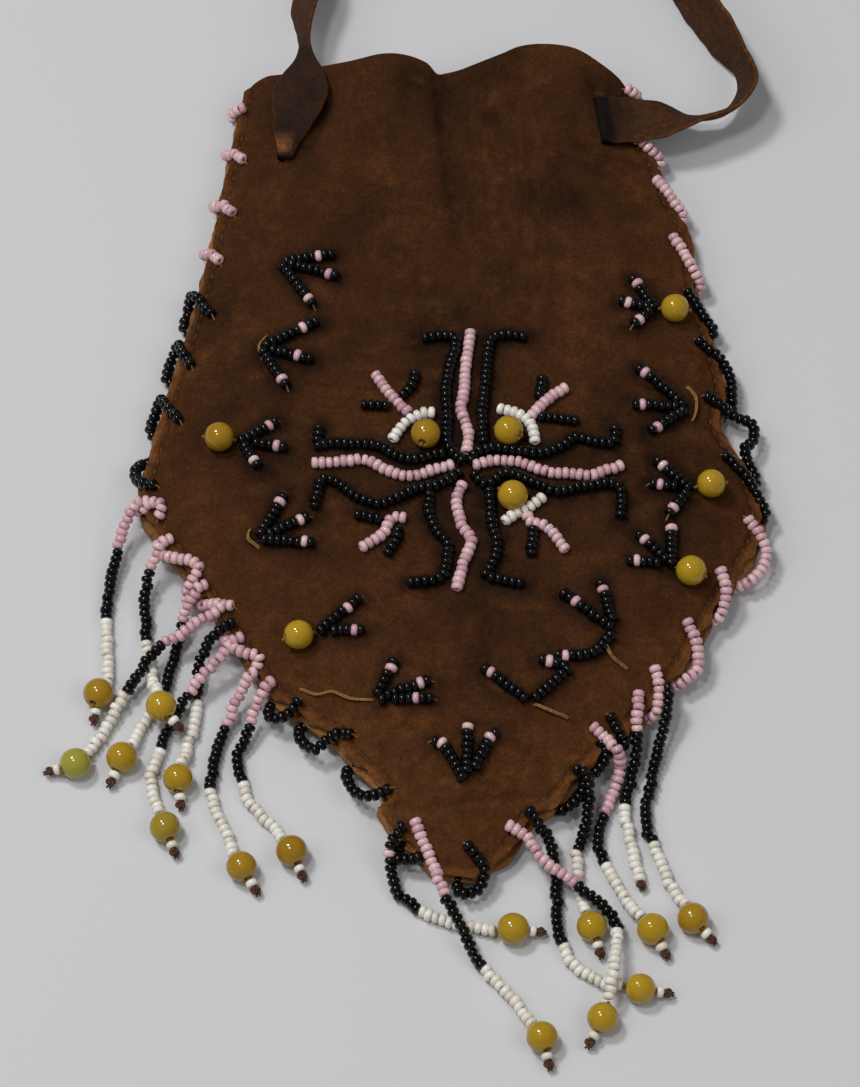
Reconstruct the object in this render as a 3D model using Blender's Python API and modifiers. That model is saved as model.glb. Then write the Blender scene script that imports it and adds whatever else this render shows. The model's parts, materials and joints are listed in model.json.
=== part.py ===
"""Beaded leather purse: a flat pointed leather pouch with bead embroidery, beaded edges, fringe and a thong.

The purse lies face up. +X is to its right, +Y towards its mouth and +Z out of the front panel.
The origin lies under the middle of the back panel, on the surface that the purse rests on.
"""

import math

import bmesh
import bpy
import numpy as np

# Overall sizes, in metres
PURSE_WIDTH = 0.124
PURSE_LENGTH = 0.200
HALF_WIDTH = PURSE_WIDTH / 2
HALF_LENGTH = PURSE_LENGTH / 2

# Leather panels
LEATHER = 0.0012
CLEARANCE = 0.0003
SEAM_HEIGHT = 0.0044
THREAD = 0.00035
SEAM_GAP = THREAD + 2 * CLEARANCE
STITCH_INSET = 0.0026
POCKET_RISE = 0.0042
RISE_REACH = 0.024
SEAM_MARGIN = 0.005
BACK_CURVE = 0.012
VALLEY_DEPTH = 0.0016
VALLEY_HALF_WIDTH = 0.007
VALLEY_LENGTH = 0.018
VALLEY_X_SHARE = 0.03
TIP_DROP = 0.0012
TIP_REACH = 0.010
TIP_CREASE_SHARE = -0.86
PANEL_ROWS = 26
PANEL_COLUMNS = 12

# Beads
BEAD = 0.0023
BEAD_PITCH = 0.0014
ACCENT_BEAD = 0.0060
ACCENT_BORE = 0.0014
ACCENT_FROM_HEEL = 0.0049
BEAD_THREAD = 0.0007
KNOT = 0.0018
EDGE_BACK_INSET = 0.0016
ROW_STEP_SHARE = 2.6
STRAND_STEP_SHARE = 3.2
TOE_START_SHARE = 0.25
TOE_STAGGER_SHARE = 0.12
TOE_STEP_SHARES = (0.0226, 0.0140)
EDGE_CORNER_SHARE = 0.75
EDGE_BULGE_SHARE = 0.17
STRAND_OUTSET_SHARE = 0.7
TAIL_SLOPE_SHARE = 0.25
WHIP_MIDDLE_SHARE = 0.45
ACCENT_PROFILE_POINTS = 7
ACCENT_TURNS = 10
THREAD_POINTS = 4

# The end of a strand: sections of the yellow bead as shares of its radius, then those of the end bead and
# the knot, each as a share of its length and a share of its radius
YELLOW_SECTION_SHARES = (-0.98, -0.72, 0, 0.72)
END_BEAD_SECTION_SHARES = ((0.05, 0.7), (0.3, 1.0), (0.7, 1.0))
KNOT_SECTION_SHARES = ((-0.1, 0.65), (0.4, 1.0), (1.0, 0.5))

# Strap
STRAP_WIDTH = 0.012
STRAP_THICKNESS = 0.0013
PINCHED_WIDTH = 0.0030
SLIT_LENGTH = 0.0128
HOLE_SHARES = (-0.508, 0.700)
SLIT_SHARES = (0.585, 0.775)
SLIT_HEADING = 101
CUT_OVERRUN = 0.004
WIDENING_SHARE = 0.33

# The thong's dive through the panel: its way forward as shares of its thickness, its depth as shares of
# its whole drop
DIVE_SHARES = ((0, 0), (0, 0.55), (0.35, 0.85), (1.2, 1.0))

# The left side of the purse from the tip to the mouth, as shares of the half width and half length
LEFT_SIDE_SHARES = (
    (-0.10, -0.985),
    (-0.16, -0.93),
    (-0.23, -0.885),
    (-0.26, -0.845),
    (-0.23, -0.822),
    (-0.33, -0.745),
    (-0.42, -0.675),
    (-0.56, -0.605),
    (-0.62, -0.555),
    (-0.70, -0.465),
    (-0.79, -0.365),
    (-0.90, -0.255),
    (-0.98, -0.175),
    (-1.00, -0.115),
    (-0.97, -0.035),
    (-0.94, 0.045),
    (-0.90, 0.145),
    (-0.835, 0.295),
    (-0.78, 0.45),
    (-0.745, 0.56),
    (-0.715, 0.675),
    (-0.67, 0.83),
    (-0.65, 0.90),
)

# The right side in the same way
RIGHT_SIDE_SHARES = (
    (0.02, -1.00),
    (0.07, -0.975),
    (0.13, -0.95),
    (0.20, -0.885),
    (0.29, -0.845),
    (0.35, -0.80),
    (0.445, -0.74),
    (0.57, -0.665),
    (0.63, -0.62),
    (0.695, -0.57),
    (0.75, -0.51),
    (0.815, -0.44),
    (0.88, -0.375),
    (0.97, -0.29),
    (1.00, -0.23),
    (0.998, -0.195),
    (0.965, -0.10),
    (0.892, 0.005),
    (0.92, 0.075),
    (0.91, 0.15),
    (0.885, 0.24),
    (0.855, 0.34),
    (0.845, 0.49),
    (0.79, 0.585),
    (0.755, 0.68),
    (0.70, 0.75),
    (0.69, 0.855),
)

# The free top edge, from left to right
MOUTH_SHARES = (
    (-0.65, 0.90),
    (-0.575, 0.925),
    (-0.49, 0.925),
    (-0.30, 0.94),
    (-0.175, 0.96),
    (-0.09, 0.96),
    (-0.02, 0.945),
    (0.02, 0.92),
    (0.065, 0.915),
    (0.135, 0.925),
    (0.24, 0.95),
    (0.31, 0.97),
    (0.40, 0.975),
    (0.50, 0.965),
    (0.585, 0.93),
    (0.65, 0.895),
    (0.69, 0.855),
)

# The cross: its middle on the panel, and its rows as shares of its reach from that middle
CROSS_REACH = 0.030
CROSS_MIDDLE_SHARES = (0.058, -0.113)
PINK_ARM_SHARES = {
    "cross_pink_arm_top": (
        (0.00, 0.20), (0.02, 0.26), (-0.01, 0.40), (-0.02, 0.49),
        (0.00, 0.60), (0.02, 0.82), (0.05, 0.98), (0.06, 1.09),
    ),
    "cross_pink_arm_left": (
        (-0.14, 0.03), (-0.23, -0.01), (-0.35, -0.05), (-0.43, -0.05), (-0.54, 0.00),
        (-0.66, 0.08), (-0.78, 0.09), (-0.89, 0.08), (-1.01, 0.07),
    ),
    "cross_pink_arm_right": (
        (0.12, 0.04), (0.19, 0.06), (0.33, 0.04), (0.46, -0.02), (0.56, -0.06),
        (0.70, -0.07), (0.81, -0.09), (0.94, -0.05), (1.01, -0.01),
    ),
    "cross_pink_arm_bottom": (
        (-0.05, -0.16), (-0.07, -0.21), (-0.08, -0.32), (-0.05, -0.46), (0.00, -0.56),
        (-0.01, -0.63), (-0.04, -0.70), (-0.07, -0.79), (-0.11, -0.92),
    ),
}
BLACK_ROW_SHARES = (
    ((0.00, 0.00), (-0.10, 0.14), (-0.13, 0.23), (-0.12, 0.45), (-0.12, 0.64),
     (-0.09, 0.82), (-0.04, 1.01), (-0.07, 1.08), (-0.25, 1.07)),
    ((-0.10, 0.14), (-0.23, 0.11), (-0.35, 0.08), (-0.47, 0.11), (-0.59, 0.20),
     (-0.75, 0.22), (-0.91, 0.23), (-0.99, 0.21), (-0.98, 0.35)),
    ((0.00, 0.00), (-0.20, -0.13), (-0.33, -0.15), (-0.46, -0.21), (-0.60, -0.26),
     (-0.77, -0.18), (-0.89, -0.07), (-0.98, -0.07), (-1.03, -0.27)),
    ((-0.24, -0.14), (-0.26, -0.22), (-0.27, -0.35), (-0.21, -0.51), (-0.16, -0.57),
     (-0.16, -0.68), (-0.21, -0.85), (-0.41, -0.88)),
    ((0.00, 0.00), (0.05, 0.11), (0.18, 0.16), (0.33, 0.13), (0.50, 0.10),
     (0.64, 0.15), (0.73, 0.22), (0.87, 0.18), (0.99, 0.17), (1.00, 0.28)),
    ((0.12, 0.14), (0.12, 0.21), (0.11, 0.37), (0.13, 0.55), (0.16, 0.76),
     (0.19, 1.00), (0.25, 1.07), (0.42, 1.05)),
    ((0.00, 0.00), (0.11, -0.13), (0.19, -0.09), (0.26, -0.04), (0.38, -0.10),
     (0.50, -0.16), (0.60, -0.21), (0.76, -0.18), (1.00, -0.18), (1.00, -0.41)),
    ((0.13, -0.12), (0.14, -0.22), (0.14, -0.37), (0.15, -0.49), (0.17, -0.62),
     (0.14, -0.74), (0.09, -0.85), (0.19, -0.88), (0.31, -0.92)),
)

# The sprays between the arms: rows that touch each other, as shares of the cross's reach
SPRAY_SHARES = {
    "spray_upper_left": (
        ((-0.58, 0.77), (-0.49, 0.60), (-0.35, 0.42)),
        ((-0.68, 0.53), (-0.44, 0.52)),
        ((-0.32, 0.77), (-0.35, 0.67), (-0.47, 0.57)),
        ((-0.22, 0.48), (-0.29, 0.46), (-0.405, 0.385), (-0.49, 0.27)),
    ),
    "spray_upper_right": (
        ((0.68, 0.61), (0.57, 0.54), (0.41, 0.36)),
        ((0.54, 0.70), (0.49, 0.45)),
        ((0.49, 0.42), (0.74, 0.35)),
        ((0.25, 0.49), (0.37, 0.43), (0.44, 0.34), (0.45, 0.21)),
    ),
    "spray_lower_right": (
        ((0.37, -0.35), (0.40, -0.44), (0.51, -0.49), (0.61, -0.65)),
        ((0.43, -0.46), (0.39, -0.69)),
        ((0.48, -0.26), (0.40, -0.32), (0.29, -0.38), (0.24, -0.43)),
    ),
    "spray_lower_left": (
        ((-0.44, -0.38), (-0.52, -0.38), (-0.58, -0.50), (-0.71, -0.59)),
        ((-0.74, -0.34), (-0.53, -0.39)),
        ((-0.54, -0.43), (-0.47, -0.50), (-0.56, -0.65)),
    ),
}
CROSS_ACCENT_SHARES = {
    "cross_yellow_bead_upper_left": (-0.27, 0.30),
    "cross_yellow_bead_upper_right": (0.29, 0.31),
    "cross_yellow_bead_lower_right": (0.29, -0.22),
}

# Tracks: the heel on the panel in shares, the heading of a yellow bead from the heel or None, and the
# toes, each a chain of legs given as a heading in degrees and a count of toe steps
TRACK_SHARES = {
    "track_left_1": ((-0.535, 0.413), None, (((6, 7.5),), ((-21, 8.5),), ((-60, 9),))),
    "track_left_2": ((-0.606, 0.197), None, (((27, 9),), ((-18, 7.5),), ((-62, 7.5),))),
    "track_left_3": ((-0.673, -0.032), 175, (((32, 6.5),), ((-12, 7),), ((-61, 5.5),))),
    "track_left_4": ((-0.623, -0.263), None, (((61, 7.5),), ((24, 7.5),), ((-8, 7.5),))),
    "track_left_5": ((-0.432, -0.478), 198, (((41, 8),), ((-3, 6.5),))),
    "track_left_6": ((-0.265, -0.632), None, (((63, 6),), ((16, 7.5),), ((-4, 7.5),))),
    "track_tip": (
        (0.008, -0.826), None, (((114, 6), (152, 2)), ((86, 8.5),), ((63, 7), (28, 1.5))),
    ),
    "track_right_1": ((0.703, 0.274), 349, (((118, 6.5),), ((168, 5.5),), ((225, 5),))),
    "track_right_2": ((0.789, 0.031), None, (((137, 9),), ((180, 7.5),), ((219, 7),))),
    "track_right_3": ((0.771, -0.172), 4, (((133, 7),), ((173, 6),), ((234, 6),))),
    "track_right_4": ((0.692, -0.348), 333, (((86, 6.5),), ((132, 7),), ((175, 6.5),))),
    "track_right_5": (
        (0.500, -0.498), None, (((139, 9),), ((102, 7.5),), ((224, 4.5), (187, 4), (152, 1))),
    ),
    "track_right_6": ((0.219, -0.654), None, (((138, 8),), ((43, 5.5), (57, 1.5), (162, 4)))),
}

# Edge beading: for each run its side, then for each whip the height of its crossing as a share of the
# half length, its slant towards the mouth and its reach inwards, both counted in beads
EDGE_RUN_SHARES = {
    "edge_beads_left_upper": (
        "left", ((0.837, 0, 1.5), (0.735, -3, 2), (0.595, -3, 2.5), (0.470, -3, 2)),
    ),
    "edge_beads_left_middle": (
        "left", ((0.355, -4, 3), (0.235, -4, 3), (0.105, -4, 3), (-0.045, -4, 2.5)),
    ),
    "edge_beads_left_corner": ("left", ((-0.195, -1, 2), (-0.300, -1, 3), (-0.505, -1, 3))),
    "edge_beads_left_lower": ("left", ((-0.620, -1, 2), (-0.690, -1, 2), (-0.775, -1, 2))),
    "edge_beads_right_upper": (
        "right", ((0.845, 0, 1.5), (0.675, 1.5, 2), (0.570, 3, 2), (0.420, 3, 2.5)),
    ),
    "edge_beads_right_middle": (
        "right", ((0.270, 3, 2), (0.145, 3, 3), (0.020, 2, 2), (-0.130, 3, 3)),
    ),
    "edge_beads_right_lower": (
        "right", ((-0.270, 2, 2), (-0.395, 2, 2), (-0.505, 2, 2), (-0.570, 1, 2)),
    ),
    "edge_beads_right_tip": ("right", ((-0.745, 0, 2), (-0.840, 0, 2))),
    "edge_beads_tip": ("right", ((-0.960, 0.5, 2), (-0.985, 0.5, 2))),
}
PINK_RUNS = (
    "edge_beads_left_upper", "edge_beads_left_corner", "edge_beads_right_upper", "edge_beads_right_lower",
)

# Fringe: for each strand its group, its side, the height of its root as a share of the half length,
# the inset of that root in beads, the free points as shares of the half width and half length with a
# level counted in bead layers above the table, and the heading of its tail in degrees
FRINGE_SHARES = {
    "fringe_left_1": (
        "fringe_left_corner", "left", -0.150, 1,
        ((-1.075, -0.225, 1.0), (-1.113, -0.37, 0), (-1.108, -0.52, 0), (-1.135, -0.56, 0.7)), 260,
    ),
    "fringe_left_2": (
        "fringe_left_middle", "left", -0.240, 1,
        ((-0.985, -0.32, 0.9), (-0.985, -0.42, 0), (-0.975, -0.50, 0), (-0.955, -0.565, 1.3),
         (-0.935, -0.61, 1.85)), 310,
    ),
    "fringe_left_3": (
        "fringe_left_middle", "left", -0.405, 1,
        ((-0.855, -0.44, 1.9), (-0.90, -0.455, 1.6), (-0.96, -0.48, 1.3), (-1.05, -0.56, 0.6),
         (-1.14, -0.66, 0), (-1.205, -0.715, 0.7)), 190,
    ),
    "fringe_left_4": (
        "fringe_left_middle", "left", -0.350, 1,
        ((-0.865, -0.40, 0.9), (-0.89, -0.46, 0), (-0.92, -0.53, 0), (-0.99, -0.62, 0),
         (-1.06, -0.705, 0.7)), 245,
    ),
    "fringe_left_5": (
        "fringe_left_middle", "left", -0.440, 1,
        ((-0.81, -0.485, 0.9), (-0.822, -0.545, 0), (-0.83, -0.61, 0), (-0.855, -0.67, 0),
         (-0.885, -0.755, 0.7)), 275,
    ),
    "fringe_left_6": (
        "fringe_left_middle", "left", -0.475, 1,
        ((-0.77, -0.52, 1.75), (-0.822, -0.55, 1.35), (-0.88, -0.60, 0.5), (-0.93, -0.66, 0),
         (-0.97, -0.75, 0), (-0.925, -0.86, 0.7)), 290,
    ),
    "fringe_left_7": (
        "fringe_left_lower", "left", -0.545, 1,
        ((-0.70, -0.59, 1.0), (-0.755, -0.67, 0), (-0.785, -0.77, 0), (-0.735, -0.88, 0),
         (-0.69, -0.95, 0.7)), 300,
    ),
    "fringe_left_8": (
        "fringe_left_lower", "left", -0.580, 1,
        ((-0.655, -0.64, 1.0), (-0.70, -0.71, 0), (-0.665, -0.80, 0), (-0.59, -0.86, 0),
         (-0.535, -0.92, 0.7)), 292,
    ),
    "fringe_right_1": (
        "fringe_tip", "left", -0.905, 1,
        ((-0.235, -0.955, 1.0), (-0.205, -1.01, 0), (-0.11, -1.06, 0), (0.03, -1.09, 0),
         (0.135, -1.10, 0.7)), 358,
    ),
    "fringe_right_2": (
        "fringe_tip", "left", -0.955, 2,
        ((-0.08, -1.02, 1.9), (-0.03, -1.09, 1.4), (0.04, -1.17, 0), (0.15, -1.26, 0),
         (0.205, -1.325, 0.7)), 282,
    ),
    "fringe_right_3": (
        "fringe_right_tip", "right", -0.915, 2,
        ((0.225, -0.965, 1.9), (0.33, -1.015, 1.3), (0.445, -1.09, 0.8), (0.435, -1.19, 1.8),
         (0.39, -1.29, 0.7)), 240,
    ),
    "fringe_right_4": (
        "fringe_right_tip", "right", -0.880, 1,
        ((0.265, -0.93, 0.9), (0.275, -1.0, 0), (0.275, -1.11, 0), (0.345, -1.19, 0),
         (0.51, -1.233, 0.7)), 355,
    ),
    "fringe_right_5": (
        "fringe_right_tip", "right", -0.790, 1,
        ((0.385, -0.86, 0.9), (0.350, -0.93, 0), (0.345, -1.01, 0), (0.375, -1.10, 0.7)), 285,
    ),
    "fringe_right_6": (
        "fringe_right_middle", "right", -0.695, 2,
        ((0.495, -0.765, 0.9), (0.455, -0.83, 0), (0.415, -0.90, 0), (0.43, -0.965, 0),
         (0.48, -1.03, 0), (0.56, -1.11, 0.7)), 295,
    ),
    "fringe_right_7": (
        "fringe_right_middle", "right", -0.652, 2,
        ((0.550, -0.73, 0.9), (0.518, -0.80, 0), (0.503, -0.87, 0), (0.535, -1.00, 0)), None,
    ),
    "fringe_right_8": (
        "fringe_right_middle", "right", -0.612, 1,
        ((0.63, -0.70, 0.9), (0.585, -0.80, 0), (0.565, -0.86, 0), (0.59, -0.94, 0),
         (0.64, -1.03, 0), (0.685, -1.09, 0.7)), 310,
    ),
}

# Fringe hinges: two places on the panel, in shares, that each group's axis runs through
HINGE_SHARES = {
    "fringe_left_corner": ((-0.955, -0.10), (-0.90, -0.20)),
    "fringe_left_middle": ((-0.905, -0.20), (-0.66, -0.46)),
    "fringe_left_lower": ((-0.66, -0.53), (-0.56, -0.53)),
    "fringe_tip": ((-0.20, -0.87), (0.0, -0.87)),
    "fringe_right_tip": ((0.10, -0.89), (0.34, -0.74)),
    "fringe_right_middle": ((0.40, -0.68), (0.60, -0.57)),
}

# The free loop of the thong, from the hole to the slit: points in metres, the width as a share of the
# thong's own, and the turn of its width about its run in degrees
STRAP_ROUTE = (
    (-0.0315, 0.0690, 0.0104, 0.30, 0),
    (-0.0308, 0.0740, 0.0108, 0.62, 5),
    (-0.0292, 0.0800, 0.0114, 1.00, 8),
    (-0.0280, 0.0860, 0.0116, 1.00, 8),
    (-0.0272, 0.0920, 0.0117, 0.85, 10),
    (-0.0270, 0.0970, 0.0114, 0.65, 35),
    (-0.0270, 0.1035, 0.0094, 0.70, 80),
    (-0.0262, 0.1150, 0.0072, 1.00, 78),
    (-0.0230, 0.1290, 0.0064, 1.00, 80),
    (-0.0165, 0.1430, 0.0064, 1.00, 85),
    (-0.0060, 0.1545, 0.0064, 1.00, 90),
    (0.0080, 0.1600, 0.0064, 1.00, 90),
    (0.0220, 0.1595, 0.0064, 1.00, 90),
    (0.0350, 0.1520, 0.0064, 1.00, 95),
    (0.0450, 0.1400, 0.0064, 1.00, 100),
    (0.0520, 0.1260, 0.0064, 1.00, 104),
    (0.0575, 0.1130, 0.0066, 1.00, 108),
    (0.0628, 0.1020, 0.0068, 1.00, 108),
    (0.0668, 0.0935, 0.0070, 1.00, 105),
    (0.0672, 0.0860, 0.0072, 1.00, 100),
    (0.0630, 0.0802, 0.0074, 1.00, 122),
    (0.0560, 0.0780, 0.0078, 1.00, 155),
    (0.0485, 0.0776, 0.0084, 1.00, 174),
    (0.0415, 0.0772, 0.0089, 1.00, 178),
    (0.0350, 0.0767, 0.0101, 1.00, 180),
)
STRAP_STATIONS = 48
INNER_RUN_STATIONS = 14

# Plain colours and finishes: red, green, blue, roughness
FINISHES = {
    "leather": (0.061, 0.023, 0.007, 0.85),
    "thong": (0.040, 0.018, 0.010, 0.70),
    "thread": (0.35, 0.19, 0.08, 0.80),
    "pink_beads": (0.68, 0.35, 0.38, 0.25),
    "black_beads": (0.004, 0.004, 0.005, 0.12),
    "white_beads": (0.80, 0.78, 0.68, 0.30),
    "yellow_beads": (0.52, 0.30, 0.01, 0.20),
}


def clear_scene():
    for item in list(bpy.data.objects):
        bpy.data.objects.remove(item, do_unlink=True)


def new_collection(name):
    collection = bpy.data.collections.new(name)
    bpy.context.scene.collection.children.link(collection)
    return collection


def finish(name, kind):
    """A Principled material of the named kind, made for one piece."""
    red, green, blue, roughness = FINISHES[kind]
    material = bpy.data.materials.new(name + "_finish")
    material.use_nodes = True
    shader = material.node_tree.nodes["Principled BSDF"]
    shader.inputs["Base Color"].default_value = (red, green, blue, 1)
    shader.inputs["Roughness"].default_value = roughness
    shader.inputs["Metallic"].default_value = 0
    return material


def smooth_line(points, count, fine=12):
    """A smooth line through points, given again as count points at even steps along it."""
    points = np.asarray(points, float)
    ends = np.vstack([2 * points[0] - points[1], points, 2 * points[-1] - points[-2]])
    steps = np.linspace(0, 1, fine, endpoint=False)[:, None]
    pieces = []
    for before, start, end, after in zip(ends, ends[1:], ends[2:], ends[3:]):
        pieces.append(
            0.5 * (2 * start + (end - before) * steps
                   + (2 * before - 5 * start + 4 * end - after) * steps**2
                   + (3 * start - before - 3 * end + after) * steps**3)
        )
    line = np.vstack(pieces + [points[-1:]])
    lengths = np.linalg.norm(np.diff(line[:, :3], axis=0), axis=1)
    run = np.concatenate([[0], np.cumsum(lengths)])
    wanted = np.linspace(0, run[-1], count)
    return np.column_stack([np.interp(wanted, run, line[:, axis]) for axis in range(line.shape[1])])


def length_of(points):
    return float(np.sum(np.linalg.norm(np.diff(np.asarray(points, float), axis=0), axis=1)))


def on_purse(shares):
    return np.asarray(shares, float) * (HALF_WIDTH, HALF_LENGTH)


def on_cross(shares):
    return on_purse(CROSS_MIDDLE_SHARES) + np.asarray(shares, float) * CROSS_REACH


SIDES = {
    "left": smooth_line(on_purse(LEFT_SIDE_SHARES), PANEL_ROWS),
    "right": smooth_line(on_purse(RIGHT_SIDE_SHARES), PANEL_ROWS),
}
SEWN_EDGE = np.vstack([SIDES["left"][::-1], SIDES["right"]])


def ease(share):
    """0 up to 1 with a level start and a level end."""
    share = np.clip(share, 0, 1)
    return share * share * (3 - 2 * share)


def seam_distance(x, y):
    """The distance of each place from the sewn edge."""
    place = np.stack([np.ravel(x), np.ravel(y)], axis=1)[:, None, :]
    start = SEWN_EDGE[:-1][None]
    run = SEWN_EDGE[1:][None] - start
    along = np.clip(np.sum((place - start) * run, 2) / np.sum(run * run, 2), 0, 1)
    nearest = start + along[..., None] * run
    return np.min(np.linalg.norm(place - nearest, axis=2), axis=1).reshape(np.shape(x))


def tip_drop(y):
    crease = TIP_CREASE_SHARE * HALF_LENGTH
    return TIP_DROP * ease((crease - y) / TIP_REACH)


def front_height(x, y):
    """The outer face of the front panel: a low dome with a valley at the mouth and a bent-down tip."""
    x, y = np.asarray(x, float), np.asarray(y, float)
    inwards = np.clip(seam_distance(x, y) / RISE_REACH, 0, 1)
    rise = POCKET_RISE * (1 - (1 - inwards) ** 2)
    across = (x - VALLEY_X_SHARE * HALF_WIDTH) / VALLEY_HALF_WIDTH
    up_to_mouth = ease((y - MOUTH_SHARES[0][1] * HALF_LENGTH + VALLEY_LENGTH) / VALLEY_LENGTH)
    valley = VALLEY_DEPTH * np.exp(-across**2) * up_to_mouth
    return SEAM_HEIGHT + SEAM_GAP / 2 + LEATHER + rise - valley - tip_drop(y)


def back_height(x, y):
    """The underside of the back panel: flat in the middle and lifted along the seam."""
    lift = SEAM_HEIGHT - SEAM_GAP / 2 - LEATHER - tip_drop(np.asarray(y, float))
    return lift * (1 - ease((seam_distance(x, y) - SEAM_MARGIN) / BACK_CURVE))


def panel_grid():
    """Rows from the tip to the mouth between the two sides, blended with the shape of the mouth."""
    left = SIDES["left"][:, None]
    right = SIDES["right"][:, None]
    mouth = smooth_line(on_purse(MOUTH_SHARES), PANEL_COLUMNS)[None]
    across = np.linspace(0, 1, PANEL_COLUMNS)[None, :, None]
    up = np.linspace(0, 1, PANEL_ROWS)[:, None, None]
    straight_top = (1 - across) * left[-1:] + across * right[-1:]
    return (1 - across) * left + across * right + up * (mouth - straight_top)


def add_object(name, mesh, kind, collection):
    item = bpy.data.objects.new(name, mesh)
    if kind:
        mesh.materials.append(finish(name, kind))
    collection.objects.link(item)
    return item


def add_panel(name, height, facing_up, collection):
    grid = panel_grid()
    x, y = grid[..., 0], grid[..., 1]
    corners = np.dstack([x, y, height(x, y)]).reshape(-1, 3)
    faces = []
    for row in range(PANEL_ROWS - 1):
        for column in range(PANEL_COLUMNS - 1):
            first = row * PANEL_COLUMNS + column
            face = (first, first + 1, first + 1 + PANEL_COLUMNS, first + PANEL_COLUMNS)
            faces.append(face if facing_up else face[::-1])
    mesh = bpy.data.meshes.new(name)
    mesh.from_pydata(corners.tolist(), [], faces)
    mesh.shade_smooth()
    item = add_object(name, mesh, "leather", collection)
    wall = item.modifiers.new("leather", "SOLIDIFY")
    wall.thickness = LEATHER
    wall.offset = -1
    return item


def tube_curve(name, points, radii, sides_level, collection, kind=None, anchor=(0, 0, 0)):
    """A POLY curve through points, with a radius at each, its points taken from the anchor."""
    points = np.asarray(points, float) - anchor
    radii = np.broadcast_to(radii, len(points))
    curve = bpy.data.curves.new(name, "CURVE")
    curve.dimensions = "3D"
    curve.bevel_depth = BEAD / 2
    curve.bevel_resolution = sides_level
    curve.use_fill_caps = True
    spline = curve.splines.new("POLY")
    spline.points.add(len(points) - 1)
    for knot, place, radius in zip(spline.points, points, radii):
        knot.co = (*place, 1)
        knot.radius = radius / (BEAD / 2)
    item = bpy.data.objects.new(name, curve)
    if kind:
        curve.materials.append(finish(name, kind))
    collection.objects.link(item)
    return item


def as_mesh(item, collection):
    """The mesh of a curve object, its caps welded, in place of the curve."""
    graph = bpy.context.evaluated_depsgraph_get()
    mesh = bpy.data.meshes.new_from_object(item.evaluated_get(graph))
    shape = bmesh.new()
    shape.from_mesh(mesh)
    bmesh.ops.remove_doubles(shape, verts=shape.verts, dist=CLEARANCE / 10)
    shape.to_mesh(mesh)
    shape.free()
    name = item.name
    place = item.matrix_world.copy()
    bpy.data.objects.remove(item, do_unlink=True)
    solid = bpy.data.objects.new(name, mesh)
    solid.matrix_world = place
    collection.objects.link(solid)
    return solid


def as_cutter(item, cutters):
    for owner in list(item.users_collection):
        owner.objects.unlink(item)
    cutters.objects.link(item)
    item.hide_render = True
    item.display_type = "WIRE"
    return item


def combine(item, other, operation):
    step = item.modifiers.new(other.name, "BOOLEAN")
    step.object = other
    step.operation = operation
    step.solver = "EXACT"
    step.use_self = operation == "UNION"


def bead_height(flat):
    """The height of a small bead's middle just above the front panel."""
    return float(front_height(flat[0], flat[1])) + CLEARANCE + BEAD / 2


def row_on_leather(flat, count):
    """A row of beads along flat points, resting just above the front panel."""
    line = smooth_line(flat, count)
    return np.column_stack([line, front_height(line[:, 0], line[:, 1]) + CLEARANCE + BEAD / 2])


def points_for(flat):
    return max(3, int(round(length_of(flat) / (ROW_STEP_SHARE * BEAD_PITCH))))


def add_row(name, flat, kind, collection):
    return tube_curve(name, row_on_leather(flat, points_for(flat)), BEAD / 2, 1, collection, kind)


def add_joined_rows(name, rows, kind, collection, cutters):
    """Rows that touch one another, joined into one body."""
    solids = []
    for number, flat in enumerate(rows):
        label = name if number == 0 else f"{name}_row_{number}"
        curve = tube_curve(label, row_on_leather(flat, points_for(flat)), BEAD / 2, 1, collection)
        solids.append(as_mesh(curve, collection))
    body = solids[0]
    body.data.materials.append(finish(name, kind))
    for other in solids[1:]:
        combine(body, as_cutter(other, cutters), "UNION")
    return body


def heading_vector(degrees):
    turn = math.radians(degrees)
    return np.array([math.cos(turn), math.sin(turn)])


def toe_line(heel, legs, number):
    """A toe's middle line, begun a little behind the heel so that the toes join in one body."""
    behind = (TOE_START_SHARE + TOE_STAGGER_SHARE * number) * BEAD
    place = np.asarray(heel, float)
    places = [place - behind * heading_vector(legs[0][0])]
    for heading, beads in legs:
        place = place + on_purse(beads * heading_vector(heading) * TOE_STEP_SHARES)
        places.append(place)
    return np.array(places)


def add_accent_bead(name, place, heading, collection):
    """A round bead with a bore, turned from its profile and laid with the bore along the heading."""
    outer = ACCENT_BEAD / 2
    bore = ACCENT_BORE / 2
    end = math.acos(bore / outer)
    angles = np.linspace(end, -end, ACCENT_PROFILE_POINTS)
    profile = [(outer * math.cos(a), outer * math.sin(a)) for a in angles]
    mesh = bpy.data.meshes.new(name)
    corners = [(radius, 0, height) for radius, height in profile]
    edges = [(i, (i + 1) % len(corners)) for i in range(len(corners))]
    mesh.from_pydata(corners, edges, [])
    bead = add_object(name, mesh, "yellow_beads", collection)
    turning = bead.modifiers.new("turning", "SCREW")
    turning.steps = ACCENT_TURNS
    turning.render_steps = ACCENT_TURNS
    turning.use_merge_vertices = True
    turning.merge_threshold = CLEARANCE / 10
    bead.rotation_euler = (math.pi / 2, 0, math.radians(heading) + math.pi / 2)
    height = float(front_height(place[0], place[1])) + CLEARANCE + outer
    bead.location = (place[0], place[1], height)
    return bead


def edge_place(side, y, inset):
    """A place by its height on one side, moved square to the edge towards the middle."""
    line = SIDES[side]
    step = BEAD
    x = np.interp(y, line[:, 1], line[:, 0])
    x_up = np.interp(y + step, line[:, 1], line[:, 0])
    x_down = np.interp(y - step, line[:, 1], line[:, 0])
    run = np.array([x_up - x_down, 2 * step])
    run /= np.linalg.norm(run)
    inwards = np.array([run[1], -run[0]]) if side == "left" else np.array([-run[1], run[0]])
    return np.array([x, y]) + inset * inwards


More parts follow.
